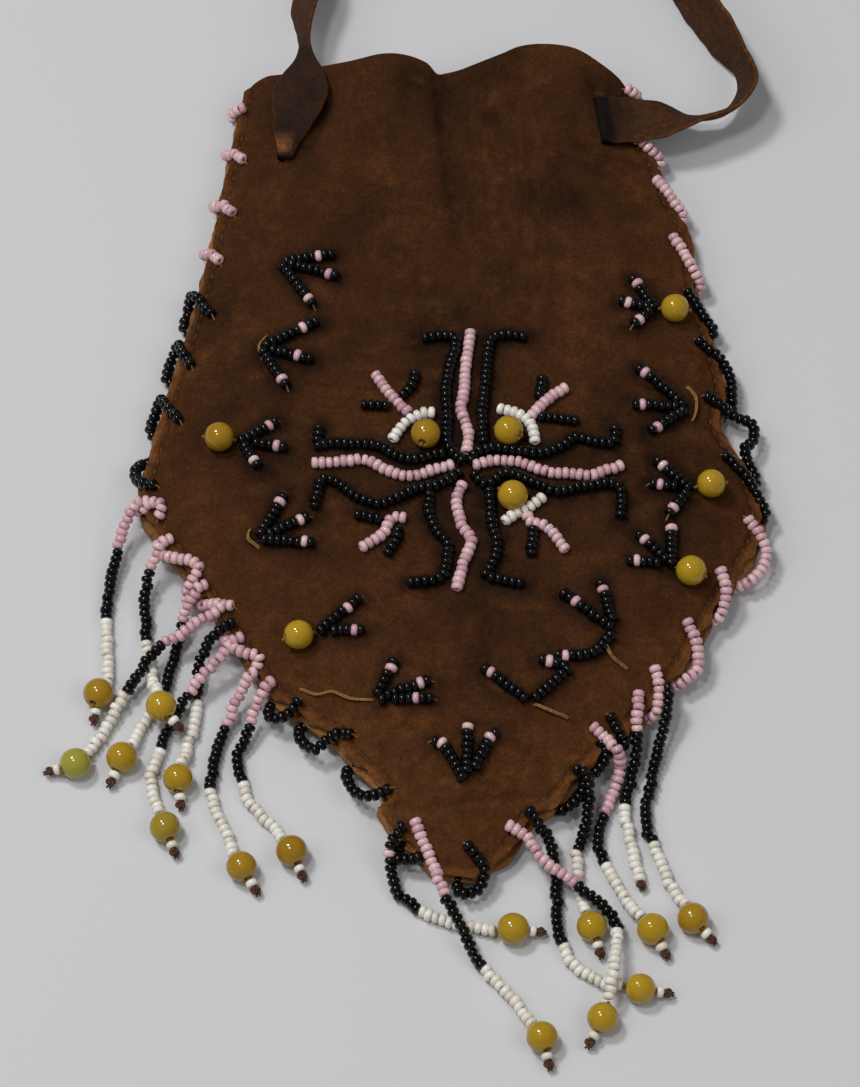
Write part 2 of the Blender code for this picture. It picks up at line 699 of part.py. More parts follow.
def over_the_edge(side, y):
    """The points of a bead row that turns round the edge, from under the back panel to above the front."""
    out = CLEARANCE + BEAD / 2
    middle = SEAM_HEIGHT - float(tip_drop(y))
    stack = SEAM_GAP / 2 + LEATHER
    low = middle - stack - out
    high = middle + stack + out
    corner = EDGE_CORNER_SHARE * out
    bulge = EDGE_BULGE_SHARE * out
    outermost = out + CLEARANCE / 2
    section = (
        (EDGE_BACK_INSET, low), (-corner, low + bulge), (-outermost, middle), (-corner, high - bulge),
    )
    above_table = [(inset, height) for inset, height in section if height > BEAD / 2]
    return [np.array([*edge_place(side, y, inset), height]) for inset, height in above_table]


def whip_points(side, share, slant, reach):
    """One whip: round the edge, then slantwise over the front."""
    y = share * HALF_LENGTH
    points = over_the_edge(side, y)
    high = points[-1][2]
    inner = edge_place(side, y + slant * BEAD_PITCH, reach * BEAD_PITCH)
    middle = points[-1][:2] + WHIP_MIDDLE_SHARE * (inner - points[-1][:2])
    points.append(np.array([*middle, max(bead_height(middle), high)]))
    points.append(np.array([*inner, bead_height(inner)]))
    return points


def thread_between(start, stop, over_front):
    """The bare thread from one whip to the next, close above the front panel or below the back one."""
    step = BEAD_THREAD / 2 / np.linalg.norm(stop - start)
    thread = []
    for share in np.linspace(step, 1 - step, THREAD_POINTS):
        place = start + share * (stop - start)
        if over_front:
            place[2] = bead_height(place)
        thread.append(place)
    return thread


def add_edge_run(name, side, whips, collection):
    """Whips joined by a thin thread, alternately under the back and over the front."""
    places, radii = [], []
    for number, whip in enumerate(whips):
        points = whip_points(side, *whip)
        if number % 2 == 0:
            points = points[::-1]
        if places:
            thread = thread_between(places[-1], points[0], over_front=number % 2 == 0)
            places += thread
            radii += [BEAD_THREAD / 2] * len(thread)
        places += points
        radii += [BEAD / 2] * len(points)
    kind = "pink_beads" if name in PINK_RUNS else "black_beads"
    return tube_curve(name, places, radii, 1, collection, kind)


def level_height(level):
    return BEAD / 2 + CLEARANCE + level * (BEAD + CLEARANCE)


def fringe_line(side, root_share, inset, free):
    """A strand's middle line: its root on the front, its turn over the edge and its free points."""
    y = root_share * HALF_LENGTH
    root = edge_place(side, y, inset * BEAD_PITCH)
    above = over_the_edge(side, y)[-1][2]
    outer = edge_place(side, y, -STRAND_OUTSET_SHARE * BEAD)
    places = [(*root, max(bead_height(root), above)), (*outer, above)]
    places += [(*on_purse(point[:2]), level_height(point[2])) for point in free]
    return np.array(places)


def sections_from(start, shares, size):
    """Distances and radii of a piece's sections, for a piece of the given size that begins at start."""
    return [(start + along * size, across * size / 2) for along, across in shares]


def add_strand(name, group, side, root_share, inset, free, tail, hinge, collection):
    """A strand with its yellow bead, end bead and knot, as one turned body along its line."""
    line = fringe_line(side, root_share, inset, free)
    count = int(round(length_of(line) / (STRAND_STEP_SHARE * BEAD_PITCH)))
    line = smooth_line(line, count)
    line[:, 2] = np.maximum(line[:, 2], level_height(0))
    points = list(line)
    half = ACCENT_BEAD / 2
    if tail is None:
        run = (points[-1] - points[-2]) / np.linalg.norm(points[-1] - points[-2])
        middle = points[-1]
        sections = sections_from(CLEARANCE, KNOT_SECTION_SHARES, KNOT)
    else:
        middle = points.pop()
        while np.linalg.norm(points[-1] - middle) < half + BEAD:
            points.pop()
        run = np.array([*heading_vector(tail), -TAIL_SLOPE_SHARE])
        run /= np.linalg.norm(run)
        sections = sections_from(half, END_BEAD_SECTION_SHARES, BEAD)
        sections += sections_from(half + BEAD, KNOT_SECTION_SHARES, KNOT)
    radii = [BEAD / 2] * len(points)
    if tail is not None:
        before = (middle - points[-1]) / np.linalg.norm(middle - points[-1])
        for share in YELLOW_SECTION_SHARES:
            points.append(middle + share * half * (before if share < 0 else run))
            radii.append(max(BEAD / 2, half * math.sqrt(1 - share * share)))
    points += [middle + reach * run for reach, radius in sections]
    radii += [radius for reach, radius in sections]
    strand = tube_curve(name, points, radii, 1, collection, "white_beads", anchor=hinge.location)
    strand.parent = hinge
    return strand


def add_hinge(name, place, collection):
    hinge = bpy.data.objects.new(name, None)
    hinge.location = place
    hinge.empty_display_size = BEAD
    collection.objects.link(hinge)
    return hinge


def hinge_place(group):
    """The middle of a group's axis, level with the underside of the strands' roots."""
    flat = on_purse(HINGE_SHARES[group]).mean(axis=0)
    return np.array([*flat, float(front_height(flat[0], flat[1])) + CLEARANCE])


def ribbon(name, stations, kind, collection, anchor=(0, 0, 0)):
    """A flat strip through stations: middle, direction across its width, its width and its thickness."""
    corners = []
    for middle, across, run, width, thickness in stations:
        normal = np.cross(run, across)
        normal /= np.linalg.norm(normal)
        for side, face in ((-1, -1), (1, -1), (1, 1), (-1, 1)):
            corners.append(middle + side * width / 2 * across + face * thickness / 2 * normal - anchor)
    count = len(stations)
    faces = [(0, 1, 2, 3), tuple(4 * count - 4 + corner for corner in (3, 2, 1, 0))]
    for station in range(count - 1):
        for corner in range(4):
            following = (corner + 1) % 4
            first = 4 * station
            faces.append((first + corner, first + 4 + corner, first + 4 + following, first + following))
    mesh = bpy.data.meshes.new(name)
    mesh.from_pydata([tuple(corner) for corner in corners], [], faces)
    shape = bmesh.new()
    shape.from_mesh(mesh)
    bmesh.ops.recalc_face_normals(shape, faces=shape.faces)
    shape.to_mesh(mesh)
    shape.free()
    return add_object(name, mesh, kind, collection)


def strap_stations():
    line = smooth_line(STRAP_ROUTE, STRAP_STATIONS)
    runs = np.gradient(line[:, :3], axis=0)
    runs /= np.linalg.norm(runs, axis=1)[:, None]
    stations = []
    for place, run in zip(line, runs):
        level = np.cross(run, (0, 0, 1))
        level /= np.linalg.norm(level)
        up = np.cross(level, run)
        turn = math.radians(place[4])
        across = math.cos(turn) * level + math.sin(turn) * up
        stations.append((place[:3], across, run, place[3] * STRAP_WIDTH, STRAP_THICKNESS))
    return stations


def strap_axis_place():
    """The middle of the line that the free loop swings on: level with its first point and just behind it."""
    first, last = STRAP_ROUTE[0], STRAP_ROUTE[-1]
    return np.array([(first[0] + last[0]) / 2, first[1] - CLEARANCE, first[2]])


def dive(flat, towards, across, width):
    """The stations that take the thong down through the front panel and on beneath it."""
    drop = LEATHER + 2 * CLEARANCE + STRAP_THICKNESS / 2
    ahead = np.array([*towards, 0])
    down = np.array([0, 0, -1.0])
    start = np.array([*flat, float(front_height(flat[0], flat[1])) - CLEARANCE / 6])
    runs = (down, down, (ahead + down) / math.sqrt(2), ahead)
    stations = []
    for (forward, depth), run in zip(DIVE_SHARES, runs):
        middle = start + forward * STRAP_THICKNESS * ahead + depth * drop * down
        stations.append((middle, across, run, width, STRAP_THICKNESS))
    return stations


def under_front(flat, across, width):
    """The height of a thong's middle that clears the inside of the front panel over its whole width."""
    edges = [flat + share * width * across[:2] for share in (-0.5, 0, 0.5)]
    lowest = min(float(front_height(edge[0], edge[1])) for edge in edges)
    return lowest - LEATHER - 2 * CLEARANCE - STRAP_THICKNESS / 2


def inner_run_stations():
    """The thong's hidden stretch: down through the hole, under the front panel and up through the slit."""
    hole, slit = on_purse(HOLE_SHARES), on_purse(SLIT_SHARES)
    ahead = (slit - hole) / np.linalg.norm(slit - hole)
    at_hole = np.array([-ahead[1], ahead[0], 0])
    at_slit = np.array([*heading_vector(SLIT_HEADING), 0])
    start = dive(hole, ahead, at_hole, PINCHED_WIDTH)
    finish_stations = dive(slit, -ahead, at_slit, STRAP_WIDTH)
    stations = list(start)
    first, last = start[-1][0][:2], finish_stations[-1][0][:2]
    for share in np.linspace(0, 1, INNER_RUN_STATIONS)[1:-1]:
        flat = first + share * (last - first)
        across = (1 - share) * at_hole + share * at_slit
        across /= np.linalg.norm(across)
        width = PINCHED_WIDTH + (STRAP_WIDTH - PINCHED_WIDTH) * float(ease(share / WIDENING_SHARE))
        height = under_front(flat, across, width)
        stations.append((np.array([*flat, height]), across, np.array([*ahead, 0]), width, STRAP_THICKNESS))
    for middle, across, run, width, thickness in finish_stations[::-1]:
        stations.append((middle, across, -run, width, thickness))
    return stations


def add_cuts(panel, cutters):
    """The small hole at the upper left and the slit at the upper right of the front panel."""
    hole, slit = on_purse(HOLE_SHARES), on_purse(SLIT_SHARES)
    radius = math.hypot(PINCHED_WIDTH, STRAP_THICKNESS) / 2 + CLEARANCE
    height = float(front_height(hole[0], hole[1]))
    bpy.ops.mesh.primitive_cylinder_add(
        vertices=16, radius=radius, depth=2 * CUT_OVERRUN, location=(*hole, height)
    )
    round_cut = bpy.context.object
    round_cut.name = "hole_cut"
    height = float(front_height(slit[0], slit[1]))
    turn = math.radians(SLIT_HEADING)
    bpy.ops.mesh.primitive_cube_add(size=1, location=(*slit, height), rotation=(0, 0, turn))
    slit_cut = bpy.context.object
    slit_cut.name = "slit_cut"
    slit_cut.scale = (SLIT_LENGTH, STRAP_THICKNESS + 2 * CLEARANCE, 2 * CUT_OVERRUN)
    for cutter in (round_cut, slit_cut):
        combine(panel, as_cutter(cutter, cutters), "DIFFERENCE")


def add_seam_stitching(collection):
    """The sewing thread, drawn as the line where it is locked between the two panels."""
    places = []
    lowest = -HALF_LENGTH + 2 * STITCH_INSET
    for side, order in (("left", -1), ("right", 1)):
        heights = [y for y in SIDES[side][:, 1] if y > lowest]
        heights = [lowest] + heights[:-1] + [heights[-1] - BEAD]
        for y in heights[::order]:
            flat = edge_place(side, y, STITCH_INSET)
            places.append((*flat, SEAM_HEIGHT - float(tip_drop(flat[1]))))
    return tube_curve("seam_stitching", places, THREAD / 2, 0, collection, "thread")


def build():
    clear_scene()
    parts = new_collection("beaded_leather_purse")
    cutters = new_collection("cutters")

    front = add_panel("front_panel", front_height, True, parts)
    add_cuts(front, cutters)
    add_panel("back_panel", back_height, False, parts)

    for name, shares in PINK_ARM_SHARES.items():
        add_row(name, on_cross(shares), "pink_beads", parts)
    add_joined_rows(
        "cross_black_outline", [on_cross(row) for row in BLACK_ROW_SHARES], "black_beads", parts, cutters
    )
    for name, rows in SPRAY_SHARES.items():
        add_joined_rows(name, [on_cross(row) for row in rows], "pink_beads", parts, cutters)
    for name, shares in CROSS_ACCENT_SHARES.items():
        add_accent_bead(name, on_cross(shares), 0, parts)
    for name, (heel_shares, accent, toes) in TRACK_SHARES.items():
        heel = on_purse(heel_shares)
        lines = [toe_line(heel, legs, number) for number, legs in enumerate(toes)]
        add_joined_rows(name, lines, "black_beads", parts, cutters)
        if accent is not None:
            place = heel + ACCENT_FROM_HEEL * heading_vector(accent)
            add_accent_bead(name + "_yellow_bead", place, accent, parts)
    for name, (side, whips) in EDGE_RUN_SHARES.items():
        add_edge_run(name, side, whips, parts)
    hinges = {}
    for group in HINGE_SHARES:
        hinges[group] = add_hinge(group + "_hinge", hinge_place(group), parts)
    for name, strand in FRINGE_SHARES.items():
        add_strand(name, *strand, hinges[strand[0]], parts)
    ribbon("strap_inner_run", inner_run_stations(), "thong", parts)
    strap_hinge = add_hinge("strap_hinge", strap_axis_place(), parts)
    strap = ribbon("strap", strap_stations(), "thong", parts, anchor=strap_axis_place())
    strap.parent = strap_hinge
    add_seam_stitching(parts)


build()
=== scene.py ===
"""Beaded leather purse: the look of a flat suede pouch with beads, beaded edges, fringe and a thong.

Lengths are in metres. The purse lies face up: +X is to its right, +Y towards its mouth, +Z out of its front.
Places on the purse are flat rows of x and y, in thousandths of its half width and half length, as they are on
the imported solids.
"""

import functools
import json
import math

import bpy
import numpy as np
from bpy.props import FloatProperty, FloatVectorProperty, PointerProperty
from mathutils import Matrix, Vector


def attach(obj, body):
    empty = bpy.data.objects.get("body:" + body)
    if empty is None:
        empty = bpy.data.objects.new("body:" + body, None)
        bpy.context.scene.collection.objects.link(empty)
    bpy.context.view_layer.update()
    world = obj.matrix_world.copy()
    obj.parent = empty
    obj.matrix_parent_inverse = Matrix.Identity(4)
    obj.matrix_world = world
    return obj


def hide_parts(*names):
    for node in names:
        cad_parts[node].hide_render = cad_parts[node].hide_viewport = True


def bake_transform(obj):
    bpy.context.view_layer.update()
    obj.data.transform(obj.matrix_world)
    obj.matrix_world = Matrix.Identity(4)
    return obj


bl_info = {
    "name": "Beaded leather purse",
    "version": (1, 0, 0),
    "blender": (4, 5, 0),
    "location": "3D View > Sidebar > Purse",
    "description": "A suede purse with bead tracks, a beaded cross, beaded edges, fringe and a thong",
    "category": "Add Mesh",
}

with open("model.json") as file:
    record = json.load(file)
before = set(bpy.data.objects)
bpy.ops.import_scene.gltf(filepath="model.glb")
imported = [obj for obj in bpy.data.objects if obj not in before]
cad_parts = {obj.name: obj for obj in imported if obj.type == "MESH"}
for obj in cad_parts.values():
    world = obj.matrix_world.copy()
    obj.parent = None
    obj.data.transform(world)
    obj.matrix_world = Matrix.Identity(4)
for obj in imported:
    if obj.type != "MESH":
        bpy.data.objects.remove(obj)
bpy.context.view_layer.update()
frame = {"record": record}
BODY_OF = {node: body for body, nodes in frame["record"]["behaviour"]["bodies"].items() for node in nodes}

# The outline: both sides from the tip to the mouth, and the mouth from left to right
LEFT_SIDE = (
    -100, -985, -160, -930, -230, -885, -260, -845, -230, -822, -330, -745, -420, -675, -560, -605, -620,
    -555, -700, -465, -790, -365, -900, -255, -980, -175, -1000, -115, -970, -35, -940, 45, -900, 145, -835,
    295, -780, 450, -745, 560, -715, 675, -670, 830, -650, 900,
)
RIGHT_SIDE = (
    20, -1000, 70, -975, 130, -950, 200, -885, 290, -845, 350, -800, 445, -740, 570, -665, 630, -620, 695,
    -570, 750, -510, 815, -440, 880, -375, 970, -290, 1000, -230, 998, -195, 965, -100, 892, 5, 920, 75, 910,
    150, 885, 240, 855, 340, 845, 490, 790, 585, 755, 680, 700, 750, 690, 855,
)
MOUTH = (
    -650, 900, -575, 925, -490, 925, -300, 940, -175, 960, -90, 960, -20, 945, 20, 920, 65, 915, 135, 925,
    240, 950, 310, 970, 400, 975, 500, 965, 585, 930, 650, 895, 690, 855,
)

# The shape of the leather
SEAM_GAP = 0.00095
RISE_REACH = 0.024
SEAM_MARGIN = 0.005
BACK_CURVE = 0.012
VALLEY_DEPTH = 0.0016
VALLEY_HALF_WIDTH = 0.007
VALLEY_LENGTH = 0.018
VALLEY_X_SHARE = 0.03
MOUTH_CORNER_SHARE = 0.90
TIP_DROP = 0.0012
TIP_REACH = 0.010
TIP_CREASE_SHARE = -0.86
SIDE_POINTS = 150
LEATHER_ROWS = 190
LEATHER_COLUMNS = 200
SLOW_WAVE = 0.00012
RIM_WAVE = 0.00022
RIM_OUTSET = 0.0009
CUT_REACH = 0.004
RAW, FLESH = 1, 2

# Creases in the front: both ends, then the half width and the depth in hundredths of a millimetre
CREASES = (
    (-250, -835, -60, -862, 90, 50), (-60, -862, 280, -832, 90, 55), (20, 930, 25, 760, 130, 110),
    (25, 780, 60, 460, 160, 75), (60, 880, 80, 580, 120, 45), (-100, 940, -60, 700, 140, 25),
    (120, 840, 110, 400, 120, 35), (160, 800, 170, 340, 120, 30), (300, 950, 340, 700, 140, 22),
    (-360, 900, -330, 680, 160, 18), (527, 934, 577, 840, 110, 70), (600, 690, 760, 655, 110, 60),
    (520, 620, 600, 690, 140, 30), (-620, -520, -450, -440, 140, 25), (700, -520, 550, -420, 140, 25),
    (800, 20, 900, 0, 120, 30),
)
CREASE_UNIT = 100000

# Stains, and one painted shadow among them, and upright wrinkles: the middle and the reach in hundredths of
# the half width and half length, and the strength in hundredths
STAINS_AND_SHADOW = (
    # The spot at (62, 84) is painted shadow of the folded corner beside the slit
    (2, 84, 30, 16, 50), (62, 84, 10, 10, 70), (50, 70, 16, 8, 30), (-50, 86, 16, 10, 35),
    (5, 55, 14, 30, 40), (45, 56, 8, 5, 55), (30, 54, 6, 4, 45), (-34, 20, 16, 8, 40), (-72, 34, 15, 16, 50),
    (-62, 12, 14, 6, 45), (-55, -10, 12, 10, 30), (6, -10, 58, 6, 75), (6, -11, 12, 38, 75),
    (6, -11, 40, 26, 38), (66, 30, 10, 9, 35), (72, -10, 12, 16, 35), (2, -50, 28, 12, 42),
)
WRINKLES = ((24, 71, 22, 26, 95), (-15, 50, 20, 20, 50), (40, 40, 25, 20, 40))
# The line beside the thong's pointed end along which the leather is painted dark as the shadow of the lifted
# thong
LEAF_SHADOW_LINE = (-485, 700, -450, 720, -420, 750, -392, 785, -370, 820)
LEAF_SHADOW_REACH = 0.0016
LEAF_SHADOW_POINTS = 24
# The most that stains and painted shade may darken
DEEPEST_DARKENING = 2.5
# Painted shade in the creases: how much the leather darkens for each metre of a crease's depth
CREASE_SHADE = 900
# Painted shade along the seam's groove, where the stitches press the leather down
SEAM_GROOVE_SHADE = 0.9
LOW_FROM_SHARE = -0.25
LOW_REACH_SHARE = 0.6
EDGE_WEAR = 0.15
EDGE_WEAR_REACH = 0.0050
TIP_WEAR = 0.30
RIM_WEAR = 1.5
RIM_REACH = 0.0009
RIM_TOP_SHARE = 0.5
# The shade round the black beads
BLACK_BEAD_SHADE = 1.7
BLACK_BEAD_SHADE_REACH = 0.0024
BLACK_BEAD_SHADE_POINTS = 10

# Beads
BEAD_AROUND = 10
BEAD_BORE = 0.0008
BEAD_OUTLINE_SHARES = ((0.96, 0.66), (0.50, 0.98), (-0.50, 0.98), (-0.96, 0.66))
BEAD_FULLNESS = 1.06
FLOOR_SHARE = 0.60
BEAD_LEAN = 0.075
BEAD_SPREAD = 0.035
BEAD_WANDER = 0.00007
STRAND_WANDER = 0.00017
NEAREST_BEAD_SHARE = 0.56
ROW_POINTS = 120
TOE_POINTS = 60
ROOT_POINTS = 40
BEAD_SEAT = 0.00012
LARGE_BORE = 0.0013
LARGE_AROUND = 28
LARGE_ARC_POINTS = 13
LARGE_FROM_HEEL = 0.0043
TOES_FROM_HEEL_SHARE = 0.35
TOES_FROM_LARGE_SHARE = -0.15

# Threads and knots
THREAD_AROUND = 6
THREAD_SAG = 0.0007
KNOT_CORD = 0.00033
KNOT_RING = 0.00050
KNOT_LOOP = 0.00030
KNOT_POINTS = 42
FRAYED_END = 0.0013
STITCH_PITCH = 0.0026
STITCH_SHARE = 0.40
STITCH_THREAD_SHARE = 0.40
STITCH_INSET = 0.0017
STITCH_RISE = 0.00020
STITCH_POINTS = 7
SEAM_GROOVE = 0.00030
SEAM_GROOVE_REACH = 0.0005
TIED_OFF_SHARE = 0.3
TIE_REACH = 0.0011
TIE_DEPTH = 0.0014
BURY_REACH = 0.0012
BURY_DEPTH = 0.0015
LOOSE_POINTS = 40
LOOSE_LIFT = 0.0009

# The cross: its middle on the panel, and its rows in hundredths of its reach
CROSS_REACH = 0.030
CROSS_MIDDLE = (58, -113)
PINK_ARMS = {
    "cross_pink_arm_top": (0, 12, 2, 26, -1, 40, -2, 49, 0, 60, 2, 82, 5, 98, 6, 112),
    "cross_pink_arm_left": (-9, 3, -23, -1, -35, -5, -43, -5, -54, 0, -66, 8, -78, 9, -89, 8, -104, 7),
    "cross_pink_arm_right": (4, 1.5, 17, 5.5, 33, 4, 46, -2, 56, -6, 70, -7, 81, -9, 94, -5, 104, -1),
    "cross_pink_arm_bottom": (
        -3, -12, -7, -21, -8, -32, -5, -46, 0, -56, -1, -63, -4, -70, -7, -79, -11, -95,
    ),
}
BLACK_ROWS = (
    (-2, 4, -10, 14, -13, 23, -12, 45, -12, 64, -9, 82, -4, 101, -7, 108, -27, 107),
    (-10, 14, -23, 11, -35, 8, -47, 11, -59, 20, -75, 22, -91, 23, -99, 21, -98, 37),
    (-4, -3, -20, -13, -33, -15, -46, -21, -60, -26, -77, -18, -89, -7, -98, -7, -103, -29),
    (-24, -14, -26, -22, -27, -35, -21, -51, -16, -57, -16, -68, -21, -85, -43, -88),
    (2, 4, 5, 11, 18, 16, 33, 13, 50, 10, 64, 15, 73, 22, 87, 18, 99, 17, 100, 30),
    (12, 14, 12, 21, 11, 37, 13, 55, 16, 76, 19, 100, 25, 107, 44, 105),
    (3, -4, 11, -13, 19, -9, 26, -4, 38, -10, 50, -16, 60, -21, 76, -18, 100, -18, 100, -43),
    (13, -12, 14, -22, 14, -37, 15, -49, 17, -62, 14, -74, 9, -85, 19, -88, 33, -92),
)
SPRAYS = {
    "spray_upper_left": (
        ("pink", -60, 79, -49, 60, -35, 42), ("black", -70, 53, -46, 52),
        ("black", -32, 79, -35, 67, -43, 59), ("white", -20, 45.5, -29, 44.5, -40.5, 37.5, -50, 23.5),
    ),
    "spray_upper_right": (
        ("pink", 70, 63, 57, 54, 41, 36), ("black", 54, 72, 50, 50), ("black", 50, 40, 76, 35),
        ("white", 22, 47, 36, 42, 44, 33, 46, 18),
    ),
    "spray_lower_right": (
        ("pink", 37, -33, 40, -44, 51, -49, 63, -67), ("black", 42, -48, 39, -71),
        ("white", 50, -24, 40, -32, 29, -38, 22, -44),
    ),
    "spray_lower_left": (
        ("pink", -42, -38, -52, -38, -58, -50, -73, -61), ("black", -76, -34, -55, -39),
        ("black", -54, -45, -47, -50, -56, -67),
    ),
}
# The cross's yellow beads: the place and the heading in degrees
CROSS_LARGE = {
    "cross_yellow_bead_upper_left": (-27, 24.5, 250),
    "cross_yellow_bead_upper_right": (28.5, 25, 330),
    "cross_yellow_bead_lower_right": (29, -26.5, 150),
}

# Tracks: the heel, the heading of a yellow bead from it or None, how many black beads follow each toe's pink
# one, and the toes, each a chain of headings in degrees with counts of beads
TRACKS = {
    "track_left_1": ((-535, 413), None, (2, 1, 1), (6, 7.5), (-21, 8.5), (-60, 9)),
    "track_left_2": ((-606, 197), None, (2, 2, 1), (27, 9), (-18, 7.5), (-62, 7.5)),
    "track_left_3": ((-673, -32), 175, (1, 1, 1), (32, 6.5), (-12, 7), (-61, 5.5)),
    "track_left_4": ((-623, -263), None, (1, 1, 1), (61, 7.5), (24, 7.5), (-8, 7.5)),
    "track_left_5": ((-432, -478), 198, (2, 1), (41, 8), (-3, 6.5)),
    "track_left_6": ((-265, -632), None, (1, 1, 2), (63, 6), (16, 7.5), (-4, 7.5)),
    "track_tip": ((8, -826), None, (1, 0, 1), (114, 6, 152, 2), (86, 8.5), (63, 7, 28, 1.5)),
    "track_right_1": ((703, 274), 349, (1, 1, 1), (118, 6.5), (168, 5.5), (225, 5)),
    "track_right_2": ((789, 31), None, (1, 1, 1), (137, 9), (180, 7.5), (219, 7)),
    "track_right_3": ((771, -172), 4, (1, 1, 1), (133, 7), (173, 6), (234, 6)),
    "track_right_4": ((692, -348), 333, (0, 1, 1), (86, 6.5), (132, 7), (175, 6.5)),
    "track_right_5": ((500, -498), None, (2, 1, 1), (139, 9), (102, 7.5), (224, 4.5, 187, 4, 152, 1)),
    "track_right_6": ((219, -654), None, (1, 1), (138, 8), (43, 5.5, 57, 1.5, 162, 4)),
}
# Ends of thread that lie loose beside some tracks
LOOSE_THREADS = {
    "track_left_6": (-500, -590, -450, -608, -400, -607, -340, -625, -270, -630),
    "track_right_6": (230, -655, 280, -672, 335, -682),
    "track_right_5": (470, -500, 465, -525, 485, -555, 530, -575),
    "track_right_2": (790, 85, 815, 60, 815, 30, 800, 5),
    "track_left_2": (-585, 230, -612, 200, -600, 170),
    "track_left_4": (-650, -235, -655, -260, -620, -280),
}

# Edge beading: for each run its colour and its whips, each a row of x and y with a level that is 1 on the
# front, 0 beside the edge and -1 under the back
EDGE_WHIPS = {
    "edge_beads_left_upper": ("pink",
     (-645, 849, 1, -668, 847, 0.9, -692, 846, 0, -655, 845, -1),
     (-650, 700, 1, -680, 720, 1, -716, 742, 0, -680, 750, -1),
     (-690, 560, 1, -720, 585, 1, -757, 607, 0, -720, 610, -1),
     (-738, 437, 1, -760, 460, 1, -793, 482, 0, -755, 487, -1)),
    "edge_beads_left_middle": ("black",
     (
      -764, 300, 1, -795, 330, 1, -818, 357, 0.9, -840, 370, 0.1, -850, 345, -0.6, -862, 310, -0.8, -820, 290,
      -1,
     ),
     (-834, 176, 1, -860, 210, 1, -882, 247, 0.3, -905, 220, -0.6, -925, 185, -0.8, -880, 165, -1),
     (-871, 39, 1, -905, 70, 1, -937, 113, 0.3, -960, 85, -0.5, -972, 50, -0.8, -920, 30, -1),
     (-949, -112, 1, -980, -103, 1, -1015, -80, 0.3, -1015, -45, 0, -975, -18, -0.9, -940, -10, -1)),
    "edge_beads_left_corner": ("pink",
     (-945, -185, 1, -930, -160, 1, -970, -150, 1, -1005, -155, 0.4, -1022, -135, 0, -980, -120, -1),
     (
      -945, -225, 0, -935, -262, 0.5, -890, -280, 1, -840, -288, 1, -815, -308, 1, -840, -335, 0.8, -858,
      -352, 0, -820, -360, -1,
     ),
     (-704, -400, 1, -745, -390, 1, -802, -375, 0, -770, -368, -1),
     (
      -700, -445, -1, -738, -452, 0, -705, -488, 1, -660, -505, 1, -625, -515, 1, -645, -542, 0, -610, -550,
      -1,
     )),
    "edge_beads_left_lower": ("black",
     (-500, -612, 1, -525, -630, 0.8, -565, -641, 0.2, -597, -630, 0, -592, -602, -0.4, -560, -585, -1),
     (
      -335, -697, 1, -380, -690, 1, -420, -696, 0.5, -455, -711, 0.1, -495, -690, 0, -505, -660, -0.3, -470,
      -640, -1,
     ),
     (-225, -812, 1, -270, -820, 0.5, -320, -813, 0.1, -350, -790, 0, -357, -755, -0.3, -320, -735, -1)),
    "edge_beads_right_upper": ("pink",
     (668, 870, 1, 690, 866, 0.9, 712, 861, 0, 680, 857, -1),
     (685, 737, 1, 725, 715, 1, 772, 693, 0, 735, 680, -1),
     (745, 628, 1, 775, 602, 1, 810, 567, 0.7, 836, 543, 0, 800, 530, -1),
     (785, 472, 1, 820, 432, 1, 850, 392, 0.9, 874, 368, 0, 835, 360, -1)),
    "edge_beads_right_middle": ("black",
     (820, 335, 1, 850, 300, 1, 880, 265, 0.8, 903, 247, 0, 865, 240, -1),
     (840, 207, 1, 880, 185, 1, 915, 165, 0.8, 940, 145, 0.2, 948, 100, 0, 940, 60, -0.4, 900, 50, -1),
     (
      850, 67, 1, 890, 55, 1, 930, 40, 0.4, 965, 30, 0, 1005, 15, 0, 1000, -25, 0, 970, -45, 0.2, 980, -80, 0,
      1000, -120, -0.3, 960, -135, -1,
     ),
     (895, -78, 1, 940, -108, 1, 975, -140, 0.9, 1005, -180, 0.4, 1018, -210, 0, 970, -215, -1)),
    "edge_beads_right_lower": ("pink",
     (950, -228, 1, 990, -260, 0.8, 1010, -295, 0.2, 985, -335, 0, 945, -355, -0.2, 890, -360, -1),
     (850, -345, 1, 865, -380, 1, 862, -410, 0.5, 842, -438, 0, 805, -430, -1),
     (730, -462, 1, 755, -500, 1, 762, -535, 0.3, 755, -560, 0, 720, -576, 0, 690, -585, -0.4, 660, -580, -1),
     (615, -567, 1, 630, -605, 1, 625, -635, 0.5, 610, -657, 0, 570, -650, -1)),
    "edge_beads_right_tip": ("black",
     (465, -672, 1, 490, -700, 1, 512, -718, 0, 470, -705, -1),
     (
      425, -712, 1, 452, -745, 0.2, 420, -775, 0, 385, -790, 0, 365, -825, 0, 310, -855, -0.2, 270, -840, -1,
     )),
    "edge_beads_tip": ("black",
     (0, -940, 1, 35, -965, 1, 55, -985, 0.6, 40, -1012, 0, 0, -1025, 0, -30, -1010, -0.5, -20, -970, -1),
     (-120, -948, 1, -165, -953, 0.4, -215, -943, 0, -190, -910, -0.6, -150, -900, -1)),
}
LEVELLED = (1000, 1000, 1)
# How many metres of height a level counts for where a whip's points are spaced out
LEVEL_REACH = 0.004

